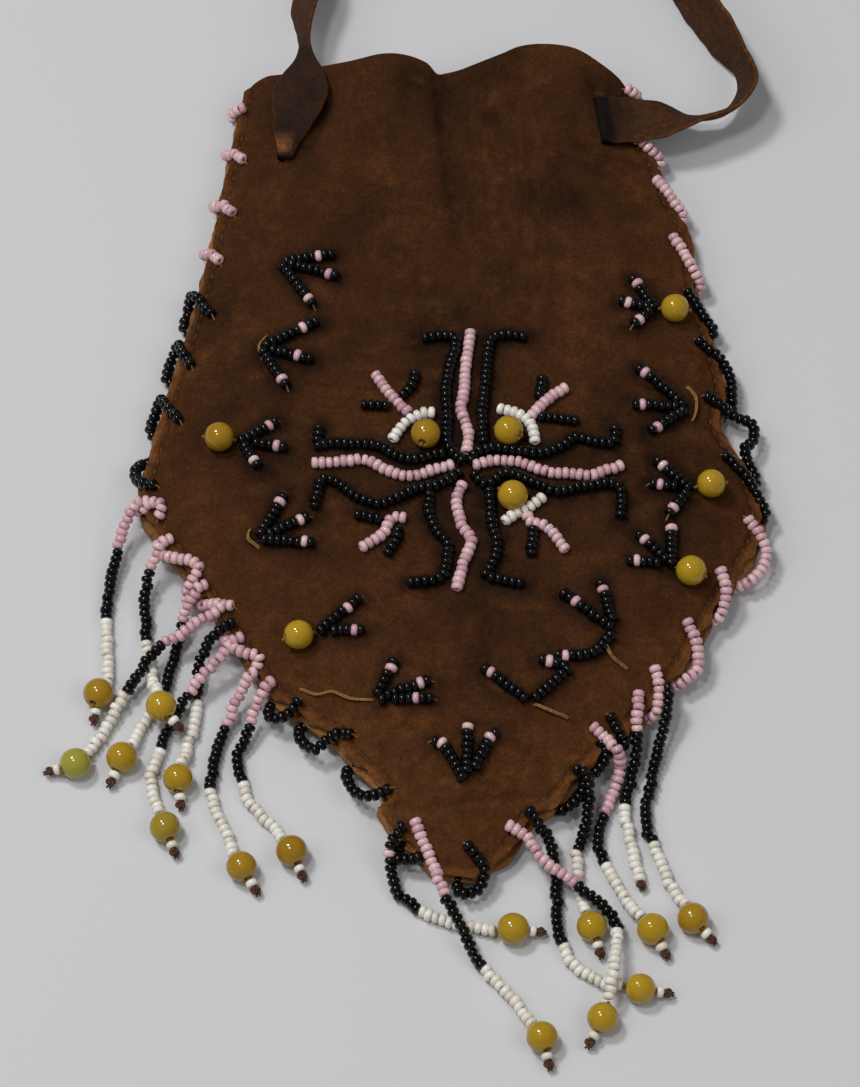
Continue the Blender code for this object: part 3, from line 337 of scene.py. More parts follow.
# Fringe: for each strand its side, the height of its root, the root's inset in beads, its tail's heading, its
# colours from the yellow bead back to the root, the last of which fills what is left, and its free points as
# x and y with a level in bead layers
FRINGE = {
    "fringe_left_1": ("left", -150, 1, 260, "11 white, 11 black, pink",
     (-1075, -225, 1, -1113, -370, 0, -1108, -520, 0, -1135, -560, 0.7)),
    "fringe_left_2": ("left", -240, 1, 310, "11 white, 11 black, pink",
     (-985, -320, 0.9, -985, -420, 0, -975, -500, 0, -955, -565, 1.3, -935, -610, 1.85)),
    "fringe_left_3": ("left", -405, 1, 190, "11 white, 9 black, pink",
     (-855, -440, 1.9, -900, -455, 1.6, -960, -480, 1.3, -1050, -560, 0.6, -1140, -660, 0, -1205, -715, 0.7)),
    "fringe_left_4": ("left", -350, 1, 245, "10 white, 11 black, pink",
     (-865, -400, 0.9, -890, -460, 0, -920, -530, 0, -990, -620, 0, -1060, -705, 0.7)),
    "fringe_left_5": ("left", -440, 1, 275, "11 white, black",
     (-810, -485, 0.9, -822, -545, 0, -830, -610, 0, -855, -670, 0, -885, -755, 0.7)),
    "fringe_left_6": ("left", -475, 1, 290, "11 white, 9 black, pink",
     (-770, -520, 1.75, -822, -550, 1.35, -880, -600, 0.5, -930, -660, 0, -970, -750, 0, -925, -860, 0.7)),
    "fringe_left_7": ("left", -545, -0.2, 300, "11 white, 10 black, pink",
     (-700, -590, 1, -755, -670, 0, -785, -770, 0, -735, -880, 0, -690, -950, 0.7)),
    "fringe_left_8": ("left", -580, 1, 292, "11 white, 9 black, pink",
     (-655, -640, 1, -700, -710, 0, -665, -800, 0, -590, -860, 0, -535, -920, 0.7)),
    "fringe_right_1": ("left", -905, 1, 358, "11 white, 9 black, 1 pink, black",
     (-235, -955, 1, -205, -1010, 0, -110, -1060, 0, 30, -1090, 0, 135, -1100, 0.7)),
    "fringe_right_2": ("left", -968, 1, 282, "11 white, 11 black, pink",
     (-80, -1020, 1.9, -30, -1090, 1.4, 40, -1170, 0, 150, -1260, 0, 205, -1325, 0.7)),
    "fringe_right_3": ("right", -915, 2, 240, "11 white, 9 black, pink",
     (225, -965, 1.9, 330, -1015, 1.3, 445, -1090, 0.8, 435, -1190, 1.8, 390, -1290, 0.7)),
    "fringe_right_4": ("right", -880, 1, 355, "11 white, 11 black, 1 pink, black",
     (265, -930, 0.9, 275, -1000, 0, 275, -1110, 0, 345, -1190, 0, 510, -1233, 0.7)),
    "fringe_right_5": ("right", -790, 1, 285, "5 white, 1 pink, 4 white, black",
     (385, -860, 0.9, 350, -930, 0, 345, -1010, 0, 375, -1100, 0.7)),
    "fringe_right_6": ("right", -712, 1, 295, "10 white, 8 black, pink",
     (495, -765, 0.9, 455, -830, 0, 415, -900, 0, 430, -965, 0, 480, -1030, 0, 560, -1110, 0.7)),
    "fringe_right_7": ("right", -652, 2, None, "12 white, 11 black, pink",
     (550, -730, 0.9, 518, -800, 0, 503, -870, 0, 535, -1000, 0)),
    "fringe_right_8": ("right", -612, -0.3, 310, "11 white, black",
     (630, -700, 0.9, 585, -800, 0, 565, -860, 0, 590, -940, 0, 640, -1030, 0, 685, -1090, 0.7)),
}
GREENISH_STRANDS = ("fringe_left_3", "fringe_left_6")
# Two strands are sewn on further in: their first pink beads lie on the front and stay with these edge beads
FRONT_ROOTS = {
    "edge_beads_tip": (-153, -885, -135, -920, -118, -948),
    "edge_beads_right_tip": (410, -695, 435, -710, 462, -728),
}
# Three strands start, and leave the edge, at places of their own
STRAND_STARTS = {
    "fringe_right_2": (-118, -948, -95, -985),
    "fringe_right_6": (462, -728, 484, -747),
    "fringe_right_7": (562, -620, 553, -668),
}
STRAND_OUTSET_SHARE = 0.7
STRAND_POINTS = 200
BALL_GAP_SHARE = 0.2
END_BEAD_SHARE = 0.55
KNOT_FROM_SHARE = 1.05
TAIL_SLOPE = 0.25

# The thong's free loop: x, y and z in tenths of a millimetre, the width in hundredths of its own, and its
# turn in degrees
STRAP_ROUTE = (
    (-315, 690, 104, 19, 0), (-308, 740, 108, 50, 5), (-292, 800, 114, 90, 8), (-280, 860, 116, 104, 8),
    (-272, 920, 117, 60, 16), (-270, 970, 114, 19, 40), (-270, 1035, 94, 40, 58), (-262, 1150, 72, 95, 52),
    (-230, 1290, 64, 100, 70), (-165, 1430, 64, 100, 85), (-60, 1545, 64, 100, 90), (80, 1600, 64, 100, 90),
    (220, 1595, 64, 100, 90), (350, 1520, 64, 100, 95), (450, 1400, 64, 100, 100), (520, 1260, 64, 100, 104),
    (575, 1130, 66, 100, 108), (628, 1020, 68, 100, 108), (668, 935, 70, 80, 98), (672, 860, 72, 90, 114),
    (630, 802, 74, 80, 120), (560, 780, 78, 90, 130), (485, 776, 84, 100, 167), (415, 772, 89, 100, 178),
    (350, 767, 101, 100, 180),
)
STRAP_UNITS = (10000, 10000, 10000, 100, 1)
STRAP_STATIONS = 260
RIBBON_AROUND = 20
WIDTH_EVENING = 4
HOLE_AND_SLIT = (-508, 700, 585, 775)
SLIT_HEADING = 101
SLIT_LENGTH = 0.0128
# How far from its end the thong is painted near black, as the shadow in the opened slit
SLIT_SHADE = 0.0031
PINCHED_WIDTH = 0.0030
INNER_RUN_STATIONS = 60
WIDENING_SHARE = 0.33
CLEARANCE = 0.0003
DIVE_SHARES = ((0, 0), (0, 0.55), (0.35, 0.85), (1.2, 1.0))
BURIED_END = 0.0008
# How much the loop and the patch at the thong's pointed end are rubbed, and where, in metres along it
LOOP_WEAR = 0.27
LOOP_FROM = 0.024
LOOP_EASE_IN = 0.02
LOOP_TO_END = 0.003
LOOP_EASE_OUT = 0.008
PATCH_WEAR = 1.2
PATCH_FROM = 0.0004
PATCH_EASE_IN = 0.001
PATCH_TO = 0.0066
PATCH_EASE_OUT = 0.0048

# Finishes of the leather: the names of their three colours, marks or numbers, bump and specular level
HIDES = {
    "suede": (
        ("suede", "suede_dark", "suede_warm"),
        {"Stain and shade": "stain_and_shade", "Wear": "wear", "Blotch scale": 55.0, "Nap scale": 1500.0, "Clouds": 0.48,
         "Wrinkles": "wrinkles"}, (0.6, 0.00022), 0.05,
    ),
    "raw_edge": (
        ("raw_edge", "suede", "raw_edge"),
        {"Stain and shade": 0.25, "Blotch scale": 160.0, "Nap scale": 3200.0}, (0.8, 0.00025), 0.1,
    ),
    "flesh_side": (
        ("flesh", "suede", "raw_edge"),
        {"Stain and shade": 0.15, "Blotch scale": 80.0, "Nap scale": 1500.0}, (0.7, 0.0003), 0.1,
    ),
    "thong_grain": (
        ("thong", "thong_dark", "thong_worn"),
        {"Stain and shade": "stain_and_shade", "Wear": "wear", "Blotch scale": 130.0, "Nap scale": 1700.0, "Ribs": 1.2,
         "Clouds": 0.10}, (0.8, 0.0003), 0.14,
    ),
}
# Glass of the small beads: gloss and specular level
GLASSES = {"pink": (0.18, 0.5), "black": (0.06, 0.40), "white": (0.22, 0.5)}
GREY = (0.5, 0.5, 0.5, 1)
FIBRE_SHADE = (0.42, 0.38, 0.34, 1)

# The camera and the light
CAMERA_PLACE = (-0.01906, -0.44555, 0.67844)
CAMERA_AIM = (-0.00427, -0.02186, 0.0)
CAMERA_ACROSS = (0.99939, -0.0349, 0.0)
CAMERA_LENS = 131.7
SENSOR_HEIGHT = 36
FLOOR_HALF = 1.6
LAMPS = {
    "key_lamp": ((-0.50, 0.30, 1.15), 0.26, 6.4, True),
    "front_lamp": ((-0.30, -0.20, 1.15), 0.18, 2.8, True),
    "right_lamp": ((0.7, -0.5, 1.0), 0.9, 3.2, False),
    "left_lamp": ((-0.9, -0.2, 0.9), 0.8, 2.3, False),
}
AMBIENT = 0.155
SKY = (0.95, 0.97, 1.0, 1)
ROOM = (0.52, 0.525, 0.54, 1)
FADE_REACH = (0.45, 1.5)


def length_property(name, description, length):
    return FloatProperty(name=name, description=description, default=length, unit="LENGTH")


def colour_property(name, description, *colour):
    return FloatVectorProperty(
        name=name, description=description, subtype="COLOR", size=4, min=0, max=1, default=(*colour, 1)
    )


class PurseSizes(bpy.types.PropertyGroup):
    """Sizes of the leather, the beads and the thong."""

    width: length_property("Width", "Widest part of the leather", 0.124)
    length: length_property("Length", "From tip to mouth", 0.200)
    leather: length_property("Leather", "Thickness of one panel", 0.0012)
    seam_height: length_property("Seam height", "Height of the sewn edge over the table", 0.0044)
    pocket_rise: length_property("Pocket rise", "How far the front bulges over its seam", 0.0042)
    bead: length_property("Bead", "Diameter of a small bead", 0.0023)
    bead_pitch: length_property("Bead pitch", "Length of thread that one bead takes", 0.0014)
    large_bead: length_property("Large bead", "Diameter of a yellow bead", 0.0060)
    thread: length_property("Thread", "Diameter of the sewing thread", 0.00036)
    thong_width: length_property("Thong width", "Width of the thong laid flat", 0.0120)
    thong_thickness: length_property("Thong thickness", "Thickness of the thong", 0.0013)


class PurseColours(bpy.types.PropertyGroup):
    """Colours of the leather, the beads, the thread and the floor."""

    suede: colour_property("Suede", "The leather's own brown", 0.056, 0.0205, 0.0068)
    # Also the colour of painted shade: in the creases, in the seam's groove, round the black beads, beside
    # the thong's pointed end and in the corner by the slit
    suede_dark: colour_property("Dark suede", "Stained and handled leather", 0.0165, 0.0072, 0.0035)
    suede_warm: colour_property("Warm suede", "Leather near the edges and the tip", 0.150, 0.053, 0.0142)
    raw_edge: colour_property("Raw edge", "The cut edge of the leather", 0.34, 0.165, 0.060)
    flesh: colour_property("Flesh side", "The inner side of the leather", 0.30, 0.135, 0.046)
    thong: colour_property("Thong", "The grain side of the thong", 0.030, 0.0126, 0.0068)
    # The colour of the painted shadow on the thong's end in the slit; the hidden stretch is also darkened
    # towards it
    thong_dark: colour_property("Dark thong", "The thong where it leaves the slit", 0.0050, 0.0028, 0.0020)
    thong_worn: colour_property("Worn thong", "The thong where it is rubbed", 0.20, 0.072, 0.018)
    pink: colour_property("Pink", "Pale pink beads", 0.75, 0.50, 0.51)
    pink_deep: colour_property("Deep pink", "The deepest of the pink beads", 0.55, 0.30, 0.35)
    black: colour_property("Black", "Black beads", 0.0016, 0.0016, 0.0020)
    black_deep: colour_property("Dusty black", "The dullest of the black beads", 0.0036, 0.0033, 0.0033)
    white: colour_property("White", "White beads", 0.86, 0.83, 0.76)
    white_deep: colour_property("Cream", "The creamiest of the white beads", 0.72, 0.66, 0.55)
    yellow: colour_property("Yellow", "Large yellow beads", 0.44, 0.275, 0.0130)
    yellow_deep: colour_property("Amber", "The deepest of the yellow beads", 0.32, 0.170, 0.0065)
    green_yellow: colour_property("Green yellow", "The greenish large beads", 0.34, 0.33, 0.045)
    thread: colour_property("Thread", "Golden sewing thread", 0.34, 0.180, 0.048)
    seam_thread: colour_property("Seam thread", "Soiled thread of the seam", 0.135, 0.066, 0.021)
    knot: colour_property("Knot", "The brown ends of the strands", 0.105, 0.042, 0.020)
    floor: colour_property("Floor", "The table", 0.62, 0.62, 0.632)


def ease(share):
    """0 up to 1 with a level start and a level end: 3 s^2 - 2 s^3."""
    share = np.clip(share, 0, 1)
    return share * share * (3 - 2 * share)


def unit(vectors):
    return vectors / np.linalg.norm(vectors, axis=-1, keepdims=True)


def heading_vector(degrees):
    turn = math.radians(degrees)
    return np.array([math.cos(turn), math.sin(turn)])


def full_turn(count):
    return np.linspace(0, 2 * math.pi, count, endpoint=False)


def smooth_line(points, count, fine=12):
    """A curve through points, each stretch the cubic whose end slopes are half the step between the points on
    either side, given again as count points at even steps along it."""
    points = np.asarray(points, float)
    ends = np.vstack([2 * points[0] - points[1], points, 2 * points[-1] - points[-2]])
    steps = np.linspace(0, 1, fine, endpoint=False)[None, :, None]
    before, start, end, after = (ends[shift:len(ends) - 3 + shift, None] for shift in range(4))
    line = 0.5 * (2 * start + (end - before) * steps
                  + (2 * before - 5 * start + 4 * end - after) * steps**2
                  + (3 * start - before - 3 * end + after) * steps**3)
    line = np.vstack([line.reshape(-1, points.shape[1]), points[-1:]])
    run = lengths_along(line)
    return sampled(line, run, np.linspace(0, run[-1], count))


def lengths_along(line, axes=3):
    return np.concatenate([[0], np.cumsum(np.linalg.norm(np.diff(line[:, :axes], axis=0), axis=1))])


def sampled(line, run, wanted):
    return np.column_stack([np.interp(wanted, run, line[:, axis]) for axis in range(line.shape[1])])


def directions_of(line):
    return unit(np.gradient(line, axis=0))


def nearest_of(places, points):
    """How far each place is from the nearest of the points, up to a few times the reach of the shade."""
    nearest = np.full(len(places), BLACK_BEAD_SHADE_REACH * 4)
    for point in points:
        nearest = np.minimum(nearest, np.hypot(*(places - point).T))
    return nearest


class Pattern:
    """The purse's outline and the heights of its two leathers, at one set of sizes."""

    def __init__(self, sizes):
        self.sizes = sizes
        self.half = np.array([sizes.width, sizes.length]) / 2
        self.sides = {
            "left": smooth_line(self.place(LEFT_SIDE), SIDE_POINTS),
            "right": smooth_line(self.place(RIGHT_SIDE), SIDE_POINTS),
        }
        self.sewn = np.vstack([self.sides["left"][::-1], self.sides["right"]])
        self.bead = sizes.bead
        self.stack = SEAM_GAP / 2 + sizes.leather

    def place(self, thousandths):
        """Places from a flat row of x and y in thousandths of the half width and half length."""
        return np.reshape(thousandths, (-1, 2)) / 1000 * self.half

    def seam_distance(self, x, y):
        """The distance of each place from the nearest stretch of the sewn edge."""
        place = np.stack([np.ravel(x), np.ravel(y)], axis=1)[:, None, :]
        start = self.sewn[:-1][None]
        run = self.sewn[1:][None] - start
        along = np.clip(np.sum((place - start) * run, 2) / np.sum(run * run, 2), 0, 1)
        nearest = start + along[..., None] * run
        return np.min(np.linalg.norm(place - nearest, axis=2), axis=1).reshape(np.shape(x))

    def tip_drop(self, y):
        return TIP_DROP * ease((TIP_CREASE_SHARE * self.half[1] - y) / TIP_REACH)

    def creases(self, x, y):
        """Each crease is a groove: its depth times exp(-(distance across / half width)^2), fading to nothing
        at both ends of its line. Slow waves of a fifth of a millimetre lie under them."""
        groove = SLOW_WAVE * np.sin(x * 210 + 1.3 * np.sin(y * 90)) * np.sin(y * 160 + 0.7)
        for *ends, half_width, depth in CREASES:
            start, end = self.place(ends)
            run = end - start
            length = np.linalg.norm(run)
            along = ((x - start[0]) * run[0] + (y - start[1]) * run[1]) / length**2
            across = ((x - start[0]) * run[1] - (y - start[1]) * run[0]) / length
            fade = ease((along + 0.15) / 0.3) * ease((1.15 - along) / 0.3)
            groove = groove - depth / CREASE_UNIT * np.exp(-(across / (half_width / CREASE_UNIT))**2) * fade
        return groove

    def front(self, x, y):
        """The outer face of the front: the seam, a dome that rises as 1 - (1 - d)^2 of its full height, the
        valley under the mouth's notch, the bent-down tip and the creases."""
        x, y = np.asarray(x, float), np.asarray(y, float)
        inwards = np.clip(self.seam_distance(x, y) / RISE_REACH, 0, 1)
        rise = self.sizes.pocket_rise * (1 - (1 - inwards)**2)
        across = (x - VALLEY_X_SHARE * self.half[0]) / VALLEY_HALF_WIDTH
        up_to_mouth = ease((y - MOUTH_CORNER_SHARE * self.half[1] + VALLEY_LENGTH) / VALLEY_LENGTH)
        valley = VALLEY_DEPTH * np.exp(-across**2) * up_to_mouth
        level = self.sizes.seam_height + self.stack
        sewn_down = SEAM_GROOVE * np.exp(-((inwards * RISE_REACH - STITCH_INSET) / SEAM_GROOVE_REACH)**2)
        return level + rise - valley - sewn_down - self.tip_drop(y) + self.creases(x, y) * ease(inwards * 6)

    def back(self, x, y):
        """The underside of the back: flat in the middle and lifted along the seam."""
        lift = self.sizes.seam_height - self.stack - self.tip_drop(np.asarray(y, float))
        return lift * (1 - ease((self.seam_distance(x, y) - SEAM_MARGIN) / BACK_CURVE))

    def edge(self, side, y, inset):
        """A place by its height on one side, moved square to the edge towards the middle."""
        line = self.sides[side]
        up, down = (np.interp(y + step, line[:, 1], line[:, 0]) for step in (self.bead, -self.bead))
        run = unit(np.array([up - down, 2 * self.bead]))
        inwards = np.array([run[1], -run[0]]) if side == "left" else np.array([-run[1], run[0]])
        return np.array([np.interp(y, line[:, 1], line[:, 0]), y]) + inset * inwards

    def on_front(self, flat, lift=None):
        """A line on the front, by default that of beads' middles that rest on it."""
        lift = self.bead / 2 - BEAD_SEAT if lift is None else lift
        return np.column_stack([flat, self.front(flat[:, 0], flat[:, 1]) + lift])

    def round_the_edge(self, flat, level):
        """A line that passes over, beside or under the sewn edge. Level 1 lies on the front, or as high as
        the front's rim outside it, -1 lies under the back, and between them the height is in proportion."""
        x, y = flat[:, 0], flat[:, 1]
        left, right = (np.interp(y, line[:, 1], line[:, 0]) for line in self.sides.values())
        inside = (x > left) & (x < right) & (y > self.sewn[:, 1].min())
        core = self.sizes.seam_height - self.tip_drop(y)
        rest = self.bead / 2 - BEAD_SEAT
        over = np.maximum(core + self.stack + rest, np.where(inside, self.front(x, y) + rest, 0))
        under = np.where(inside, self.back(x, y) - rest, core - self.stack - rest)
        under = np.maximum(under, FLOOR_SHARE * self.bead)
        height = np.where(level > 0, core + level * (over - core), core + level * (core - under))
        return np.column_stack([flat, height])


# Meshes and pieces

def skin(rings, loop=False):
    """Faces between rings of points given as (ring, around, 3): four-cornered faces between neighbours, and a
    face over each end unless the rings run in a loop. Rings turn to the left about their way forward."""
    count, around = rings.shape[:2]
    ring, corner = np.meshgrid(np.arange(count if loop else count - 1), np.arange(around), indexing="ij")
    here, following = ring * around, (ring + 1) % count * around
    turn = (corner + 1) % around
    sides = np.stack([here + corner, here + turn, following + turn, following + corner], axis=-1)
    faces = [sides.reshape(-1, 4)]
    if not loop:
        faces += [np.arange(around)[None, ::-1], (count - 1) * around + np.arange(around)[None]]
    return rings.reshape(-1, 3), faces


def tube(line, radius):
    """A round cord: at each point of the line a ring of the given radius, square to the line, whose points
    are the middle + radius * (cos(t) up + sin(t) level)."""
    line = np.asarray(line, float)
    ahead = directions_of(line)
    level = unit(np.cross(ahead, (0.13, 0.21, 0.97)))
    up = np.cross(level, ahead)
    turn = full_turn(THREAD_AROUND)[None, :, None]
    return skin(line[:, None] + radius * (np.cos(turn) * up[:, None] + np.sin(turn) * level[:, None]))


def turned(profile, around):
    """A drilled bead about X: the profile's points are (x, distance from X), listed over the outside from the
    bore's end at +X to the one at -X and back through the bore, and each is turned round X."""
    x, reach = profile.T
    turn = full_turn(around)[:, None]
    flat = np.broadcast_to(x, (around, len(x)))
    return skin(np.stack([flat, reach * np.cos(turn), reach * np.sin(turn)], axis=-1), loop=True)


@functools.lru_cache(maxsize=None)
def small_bead(outer, length):
    """A small bead: a barrel with round shoulders and a straight bore."""
    barrel = np.array(BEAD_OUTLINE_SHARES) * (length / 2, outer / 2)
    mouth = barrel[0, 0]
    return turned(np.vstack([barrel, [(-mouth, BEAD_BORE / 2), (mouth, BEAD_BORE / 2)]]), BEAD_AROUND)


@functools.lru_cache(maxsize=None)
def large_bead(outer):
    """A yellow bead: a ball's profile cut short by its bore, whose two mouths are a little wider."""
    radius, bore = outer / 2, LARGE_BORE / 2
    end = math.acos(bore * 1.25 / radius)
    angles = np.linspace(end, -end, LARGE_ARC_POINTS)
    ball = np.column_stack([radius * np.sin(angles), radius * np.cos(angles)])
    mouth = ball[0, 0] * 0.93
    return turned(np.vstack([ball, [(-mouth, bore), (0, bore), (mouth, bore)]]), LARGE_AROUND)


def put(name, data):
    """A new object in the scene."""
    item = bpy.data.objects.new(name, data)
    bpy.context.scene.collection.objects.link(item)
    return item


def mesh_of(name, points, faces, finish_names=()):
    mesh = bpy.data.meshes.new(name)
    corners = [face for group in faces for face in group.tolist()]
    mesh.from_pydata(np.reshape(points, (-1, 3)).tolist(), [], corners)
    for finish in finish_names:
        mesh.materials.append(finishes()[finish])
    return mesh


def mark(mesh, name, values):
    """A number for each point of a mesh, which its finish reads by name."""
    marks = mesh.attributes.new(name, "FLOAT", "POINT")
    marks.data.foreach_set("value", np.ravel(values).astype(np.float32))


def settle(name, mesh, node, rides=True):
    """The object of a finished mesh, standing for its node and riding on the node's body."""
    mesh.shade_smooth()
    item = put(name, mesh)
    if rides:
        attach(item, BODY_OF[node])
    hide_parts(node)
    return item


class Piece:
    """The points, faces, finishes and shades of one piece while it is being made."""

    def __init__(self, name):
        self.name = name
        self.random = np.random.default_rng([ord(letter) for letter in name])
        self.points, self.faces, self.finishes, self.shades = [], [], [], []
        self.count = 0

    def add(self, points, faces, finish, shade):
        """Points with their faces, the faces' finish by name and the points' shade from 0 to 1."""
        points = np.reshape(points, (-1, 3))
        self.faces += [group + self.count for group in faces]
        self.finishes += [np.broadcast_to(finish, len(group)) for group in faces]
        self.points.append(points)
        self.shades.append(np.broadcast_to(shade, len(points)))
        self.count += len(points)

    def copies(self, shape, places, ahead, finish, lean=BEAD_LEAN, spread=BEAD_SPREAD):
        """One shape at each place: its X lies along the thread, leaning a few degrees, it is spun at random
        about it and grown or shrunk by a few hundredths, and it has a shade of its own."""
        points, (faces,) = shape
        count = len(places)
        ahead = unit(ahead + self.random.normal(0, lean, (count, 3)))
        side = unit(np.cross(ahead, self.random.normal(size=(count, 3))))
        up = np.cross(ahead, side)
        size = 1 + self.random.normal(0, spread, (count, 1, 1))
        placed = sum(points[None, :, k, None] * axis[:, None] for k, axis in enumerate((ahead, side, up)))
        many = faces[None] + (np.arange(count) * len(points))[:, None, None]
        finish = np.repeat(np.broadcast_to(finish, count), len(faces))
        shade = np.repeat(self.random.random(count), len(points))
        self.add(places[:, None] + size * placed, [many.reshape(-1, 4)], finish, shade)

    def thread(self, line, radius, finish="thread"):
        self.add(*tube(line, radius), finish, self.random.random())

    def bury(self, end, before, reach, depth, thread):
        """The thread that runs on past a row's end and dives into the leather."""
        steps = np.linspace(-1, 1, 7)[:, None]
        bent = end + steps * reach * unit(end - before) + (0, 0, -1) * ease((steps + 0.3) / 1.3) * depth
        bent[:, 2] = np.maximum(bent[:, 2], thread)
        self.thread(bent, thread / 2)

    def build(self, node):
        """The piece's object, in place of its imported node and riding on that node's body."""
        names, index = np.unique(np.concatenate(self.finishes), return_inverse=True)
        mesh = mesh_of(self.name, np.vstack(self.points), self.faces, names.tolist())
        mesh.polygons.foreach_set("material_index", index.tolist())
        mark(mesh, "shade", np.concatenate(self.shades))
        settle(self.name, mesh, node)


def string_beads(piece, rows, sizes, taken, wander=BEAD_WANDER):
    """Beads along rows of (line, finish by bead): as many as a line's length over the pitch, rounded, each
    halfway along an equal share of it. One that would sit inside a bead strung before is left out."""
    shape = small_bead(sizes.bead * BEAD_FULLNESS, sizes.bead_pitch)
    for line, colour_of in rows:
        run = lengths_along(line)
        count = max(1, int(round(run[-1] / sizes.bead_pitch)))
        share = run[-1] / count
        wanted = (np.arange(count) + 0.5) * share
        ahead = unit(sampled(line, run, wanted + share / 3) - sampled(line, run, wanted - share / 3))
        places = sampled(line, run, wanted)
        near = NEAREST_BEAD_SHARE * sizes.bead
        free = [all(np.linalg.norm(place - other) > near for other in taken) for place in places]
        places, ahead, names = places[free], ahead[free], np.array(colour_of(count))[free]
        taken += list(places)
        if len(places):
            drift = piece.random.normal(0, wander, places.shape) * (1, 1, 0.4)
            drift -= ahead * np.sum(drift * ahead, axis=1, keepdims=True)
            piece.copies(shape, places + drift, ahead, names)


def plain(colour):
    return lambda count: [colour] * count


def toe_colours(after):
    """Black beads with one pink bead, after which the given number of black ones follow."""
    return lambda count: ["pink" if number == count - 1 - after else "black" for number in range(count)]


def strand_colours(bands):
    """Bands of colour counted from the far end of a strand, the last of which fills the rest."""
    *counted, last = bands.split(", ")
    names = [band.split()[1] for band in counted for bead in range(int(band.split()[0]))]
    return lambda count: (names + [last] * count)[:count][::-1]


# Shader nodes

def add_node(tree, kind, sockets=None, **settings):
    item = tree.nodes.new("ShaderNode" + kind)
    for key, value in settings.items():
        setattr(item, key, value)
    for key, value in (sockets or {}).items():
        if isinstance(value, bpy.types.NodeSocket):
            tree.links.new(value, item.inputs[key])
        else:
            item.inputs[key].default_value = value
    return item


def maths(tree, operation, *values, clamp=False):
    return add_node(tree, "Math", dict(enumerate(values)), operation=operation, use_clamp=clamp).outputs[0]


def mixed(tree, share, first, second, blend="MIX"):
    sockets = {0: share, 6: first, 7: second}
    return add_node(tree, "Mix", sockets, data_type="RGBA", blend_type=blend).outputs[2]


def noise(tree, scale, detail, roughness, stretch=None):
    place = add_node(tree, "TexCoord").outputs["Object"]
    if stretch:
        place = add_node(tree, "Mapping", {"Vector": place, "Scale": stretch}).outputs[0]
    sockets = {"Vector": place, "Scale": scale, "Detail": detail, "Roughness": roughness}
    return add_node(tree, "TexNoise", sockets).outputs[0]


def stepped(tree, value, low, high):
    sockets = {"Value": value, "From Min": low, "From Max": high}
    return add_node(tree, "MapRange", sockets, clamp=True).outputs[0]


def named(tree, name):
    return add_node(tree, "Attribute", attribute_name=name).outputs["Fac"]


def new_material(name):
    material = bpy.data.materials.new(name)
    material.use_nodes = True
    return material, material.node_tree, material.node_tree.nodes["Principled BSDF"]


def new_group(name, inputs):
    """A node group with its inputs, which are colours or numbers, and its three kinds of sum: a b, a + b and
    a b + c."""
    tree = bpy.data.node_groups.new(name, "ShaderNodeTree")
    for label, value in inputs.items():
        kind = "NodeSocketFloat" if isinstance(value, float) else "NodeSocketColor"
        tree.interface.new_socket(name=label, in_out="INPUT", socket_type=kind).default_value = value
    sums = [functools.partial(maths, tree, kind) for kind in ("MULTIPLY", "ADD", "MULTIPLY_ADD")]
    return tree, tree.nodes.new("NodeGroupInput").outputs, *sums


def give(tree, **results):
    """The outputs of a node group by name."""
    for label in results:
        kind = "NodeSocketColor" if label == "Colour" else "NodeSocketFloat"
        tree.interface.new_socket(name=label, in_out="OUTPUT", socket_type=kind)
    out = tree.nodes.new("NodeGroupOutput").inputs
    for label, value in results.items():
        tree.links.new(value, out[label])
    return tree


def hide_group():
    """Suede and grain: blotches, handled stains together with the painted shade given to it as a mark, worn
    warmth, fine mottling and the nap's height.
    """
    tree, given, times, plus, scaled = new_group("hide", {
        "Colour": GREY, "Dark": GREY, "Warm": GREY, "Stain and shade": 0.0, "Wear": 0.0, "Ribs": 0.0, "Clouds": 0.36,
        "Wrinkles": 0.0, "Blotch scale": 60.0, "Nap scale": 1800.0,
    })
    blotch = noise(tree, given["Blotch scale"], 5.0, 0.62)
    mottle = noise(tree, times(given["Blotch scale"], 6.5), 4.0, 0.6)
    nap = noise(tree, given["Nap scale"], 4.0, 0.7)
    fibre = noise(tree, times(given["Nap scale"], 0.5), 3.0, 0.7, (1.0, 0.35, 1.0))
    cloud = noise(tree, times(given["Blotch scale"], 2.3), 4.0, 0.65)
    stained_and_shaded = plus(given["Stain and shade"], times(stepped(tree, blotch, 0.43, 0.66), 0.9))
    stained_and_shaded = times(stained_and_shaded, stepped(tree, mottle, -0.5, 0.75))
    stained_and_shaded = times(stained_and_shaded, stepped(tree, cloud, 0.0, 0.62), clamp=True)
    worn = plus(given["Wear"], times(stepped(tree, cloud, 0.48, 0.74), given["Clouds"]))
    worn = times(worn, stepped(tree, mottle, 0.05, 0.80), clamp=True)
    colour = mixed(tree, worn, mixed(tree, stained_and_shaded, given["Colour"], given["Dark"]), given["Warm"])
    rib = times(noise(tree, 1300.0, 2.0, 0.5, (0.22, 1.0, 0.6)), given["Ribs"])
    streak = plus(noise(tree, 640.0, 2.0, 0.5, (1.0, 0.27, 0.5)), -0.5)
    wrinkle = times(streak, given["Wrinkles"])
    light = times(times(scaled(nap, 1.8, 0.10), scaled(mottle, 0.7, 0.65)), plus(wrinkle, 1.0))
    shaded = add_node(tree, "CombineColor", {0: light, 1: light, 2: light}).outputs[0]
    height = times(nap, 0.5)
    for layer, share in ((fibre, 0.5), (rib, 1.5), (wrinkle, 4.0), (mottle, 1.2)):
        height = plus(height, times(layer, share))
    colour = mixed(tree, 1.0, colour, shaded, "MULTIPLY")
    return give(tree, Colour=colour, Height=height, Roughness=scaled(nap, 0.25, 0.68))


